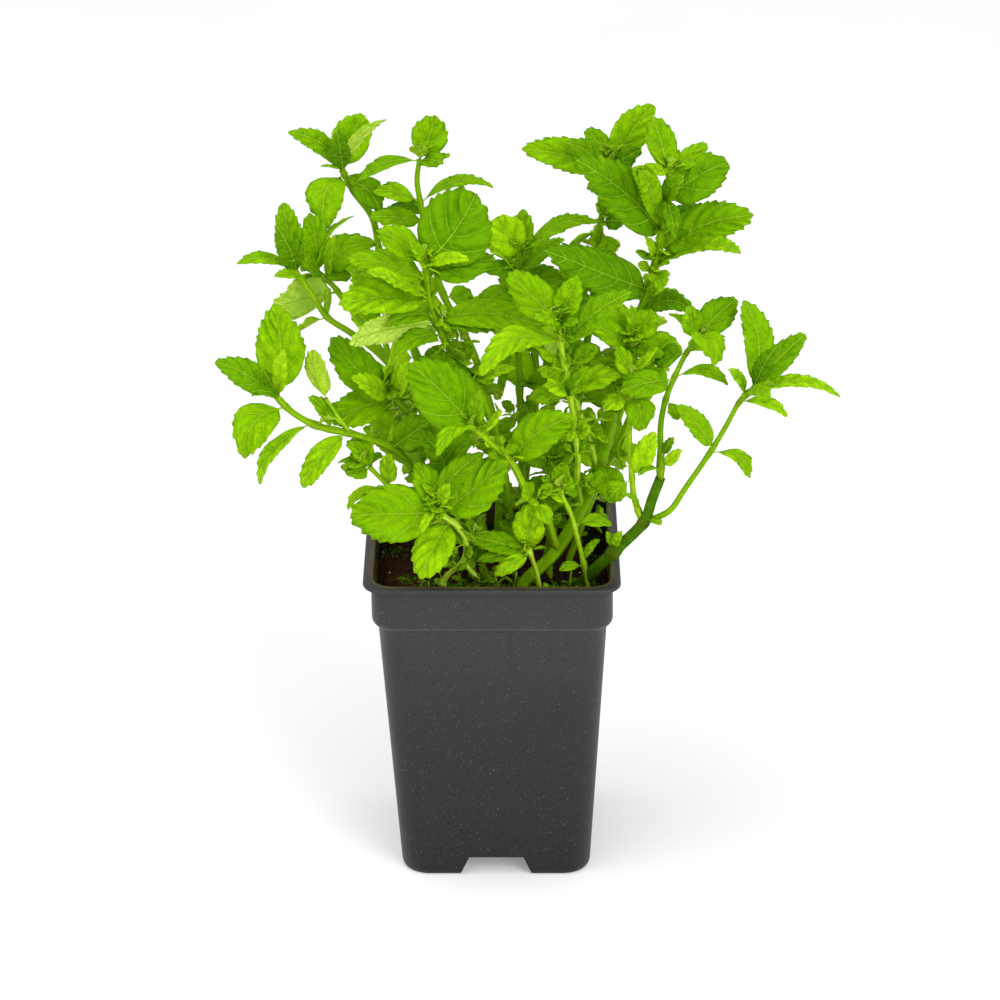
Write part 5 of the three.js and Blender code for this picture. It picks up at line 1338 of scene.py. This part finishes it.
def grow_leaves(leaves, stems, shoot, route, length, bushy):
    """Adds a shoot's leaves, and on a bushy one leaves behind some of them and shoots in some axils."""
    spans = len(route) - 1
    gap = shoot["thick"][1] / 2 + STALK_GAP
    crowd = {}
    for at, right, up, back, width, turn, arch, *own in shoot["leaves"]:
        crowd[at] = crowd.get(at, -1) + 1
        share = min(max(at / spans - crowd[at] / length, 0), 1 - 0.9 / length)
        base = on_curve(route, share)
        tip = seen((right, up, back))
        size = np.linalg.norm(tip - base)
        along = (tip - base) / size
        facing = squared(-view_away, along)
        over = np.cross(along, facing)
        over = over * (1 if over[2] > 0 else -1)
        face = facing * math.cos(math.radians(turn)) + over * math.sin(math.radians(turn))
        bend, blunt, tone = own or (chance.uniform(-0.04, 0.04), chance.uniform(0.1, 0.6),
                                    chance.uniform(0.3, 0.9))
        blade(leaves, stems, base, tip, face, width, arch, gap / size, tone, bend, blunt)
        if chance.random() < BEHIND and bushy:
            away = view_away + np.array([chance.uniform(-0.45, 0.45) for _ in range(3)]) + sky * 0.2
            away = unit(away)
            reach = chance.uniform(16, 27)
            blade(leaves, stems, base, base + away * reach, squared(sky, away), reach * 0.42,
                  chance.uniform(0.0, 0.08), gap / reach, chance.uniform(0.3, 0.9))
        if chance.random() < AXIL_SHOOTS and bushy:
            axil = unit(along + sky * 0.8)
            sprig(leaves, stems, base, axil, chance.uniform(1.5, 4), chance.uniform(7, 12),
                  chance.uniform(0.4, 0.8))


def grow_sides(leaves, stems, route, length, joints):
    """Adds pairs of side shoots on the bare lengths of a stem."""
    for stretch in np.arange(SIDE_SHOOT_START, length - SIDE_SHOOT_END, SIDE_SHOOT_SPACING):
        share = stretch / length
        if any(abs(share - joint) * length < SIDE_SHOOT_ROOM for joint in joints):
            continue
        spot = on_curve(route, share)
        heading = unit(on_curve(route, min(share + 0.02, 1)) - spot)
        across = squared(aimless(0.2), heading)
        for hand in (1, -1):
            out = unit(heading * 0.6 + across * hand)
            sprig(leaves, stems, spot, out, chance.uniform(2, 7), chance.uniform(7, 12),
                  chance.uniform(0.3, 0.7))


def finish_shoots(name, stems, leaves):
    """Pieces of stems and of leaves, the leaves given their thickness and their backs."""
    shoots_piece = piece(name + "_shoots", stems, [stem_skin, dry_cut])
    leaves_piece = piece(name + "_leaves", leaves, [leaf_face, leaf_back])
    body = leaves_piece.modifiers.new("body", "SOLIDIFY")
    body.thickness = BLADE_THICKNESS / 1000
    body.offset = -1
    body.material_offset = 1
    for made in (shoots_piece, leaves_piece):
        smooth(made, 180)
        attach(made, "root")
    return shoots_piece, leaves_piece


for node, shoots in PLANT.items():
    stems, leaves = blank(), blank()
    for number, shoot in enumerate(shoots):
        thick = shoot["thick"]
        route = [seen(place) for place in shoot["route"]]
        planted = number == 0
        if planted:
            route[0][2] = max(route[0][2], soil_top + FOOT_RISE)
        length = sum(np.linalg.norm(b - a) for a, b in zip(route, route[1:]))
        joints = sorted({min(leaf[0] / (len(route) - 1), 1) for leaf in shoot["leaves"]})
        cut = number in DRY_CUTS.get(node, ())
        bushy = not cut and node not in BARE
        age = AGES.get((node, number), min(max((thick[0] - THINNEST_GREEN) / AGEING, 0), 1))
        places = grow_stem(stems, route, thick, joints, length, age, planted)
        if cut:
            cut_off(stems, places[-1])
        grow_leaves(leaves, stems, shoot, route, length, bushy)
        tangent = unit(places[-1] - places[-3])
        across = squared(aimless(0.2), tangent)
        if not cut:
            tuft(leaves, stems, places[-1], tangent, across, chance.uniform(9, 13), thick[1], 0.5)
        if bushy:
            grow_sides(leaves, stems, route, length, joints)
    for made in finish_shoots(node, stems, leaves):
        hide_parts(node)


# Seedlings: young suckers of the mint that stand low between the feet of the stems, each a soft short shoot
# with a few small leaves. They are rooted in the soil. Each has its place and its height.
SEEDLINGS = [
    (-3, -11, 5), (1, -12, 4), (7, -12, 6), (-7, -10, 4), (12, -9, 5), (16, -13, 5), (29, -11, 6),
    (33, -12, 7), (38, -13, 3), (-23, -13, 3), (-14, -12, 4), (-30, 6, 4), (-12, 30, 5), (18, 33, 6),
    (34, 22, 5), (-33, 34, 4), (-4, -33, 4), (22, -30, 5),
]
SEEDLING_SUNK = 2
stems, leaves = blank(), blank()
for x, y, height in SEEDLINGS:
    foot = np.array((x, y, soil_height(x, y) - SEEDLING_SUNK))
    leaned = np.array((chance.uniform(-0.3, 0.3), chance.uniform(-0.3, 0.3), 1.0))
    sprig(leaves, stems, foot, leaned, height + SEEDLING_SUNK, chance.uniform(5, 7),
          chance.uniform(0.1, 0.6))
finish_shoots("seedling", stems, leaves)


# The box of the whole object, beside that of the solids.
size = {"cad": [list(corner) for corner in cad_box], "visual": [list(corner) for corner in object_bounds()]}
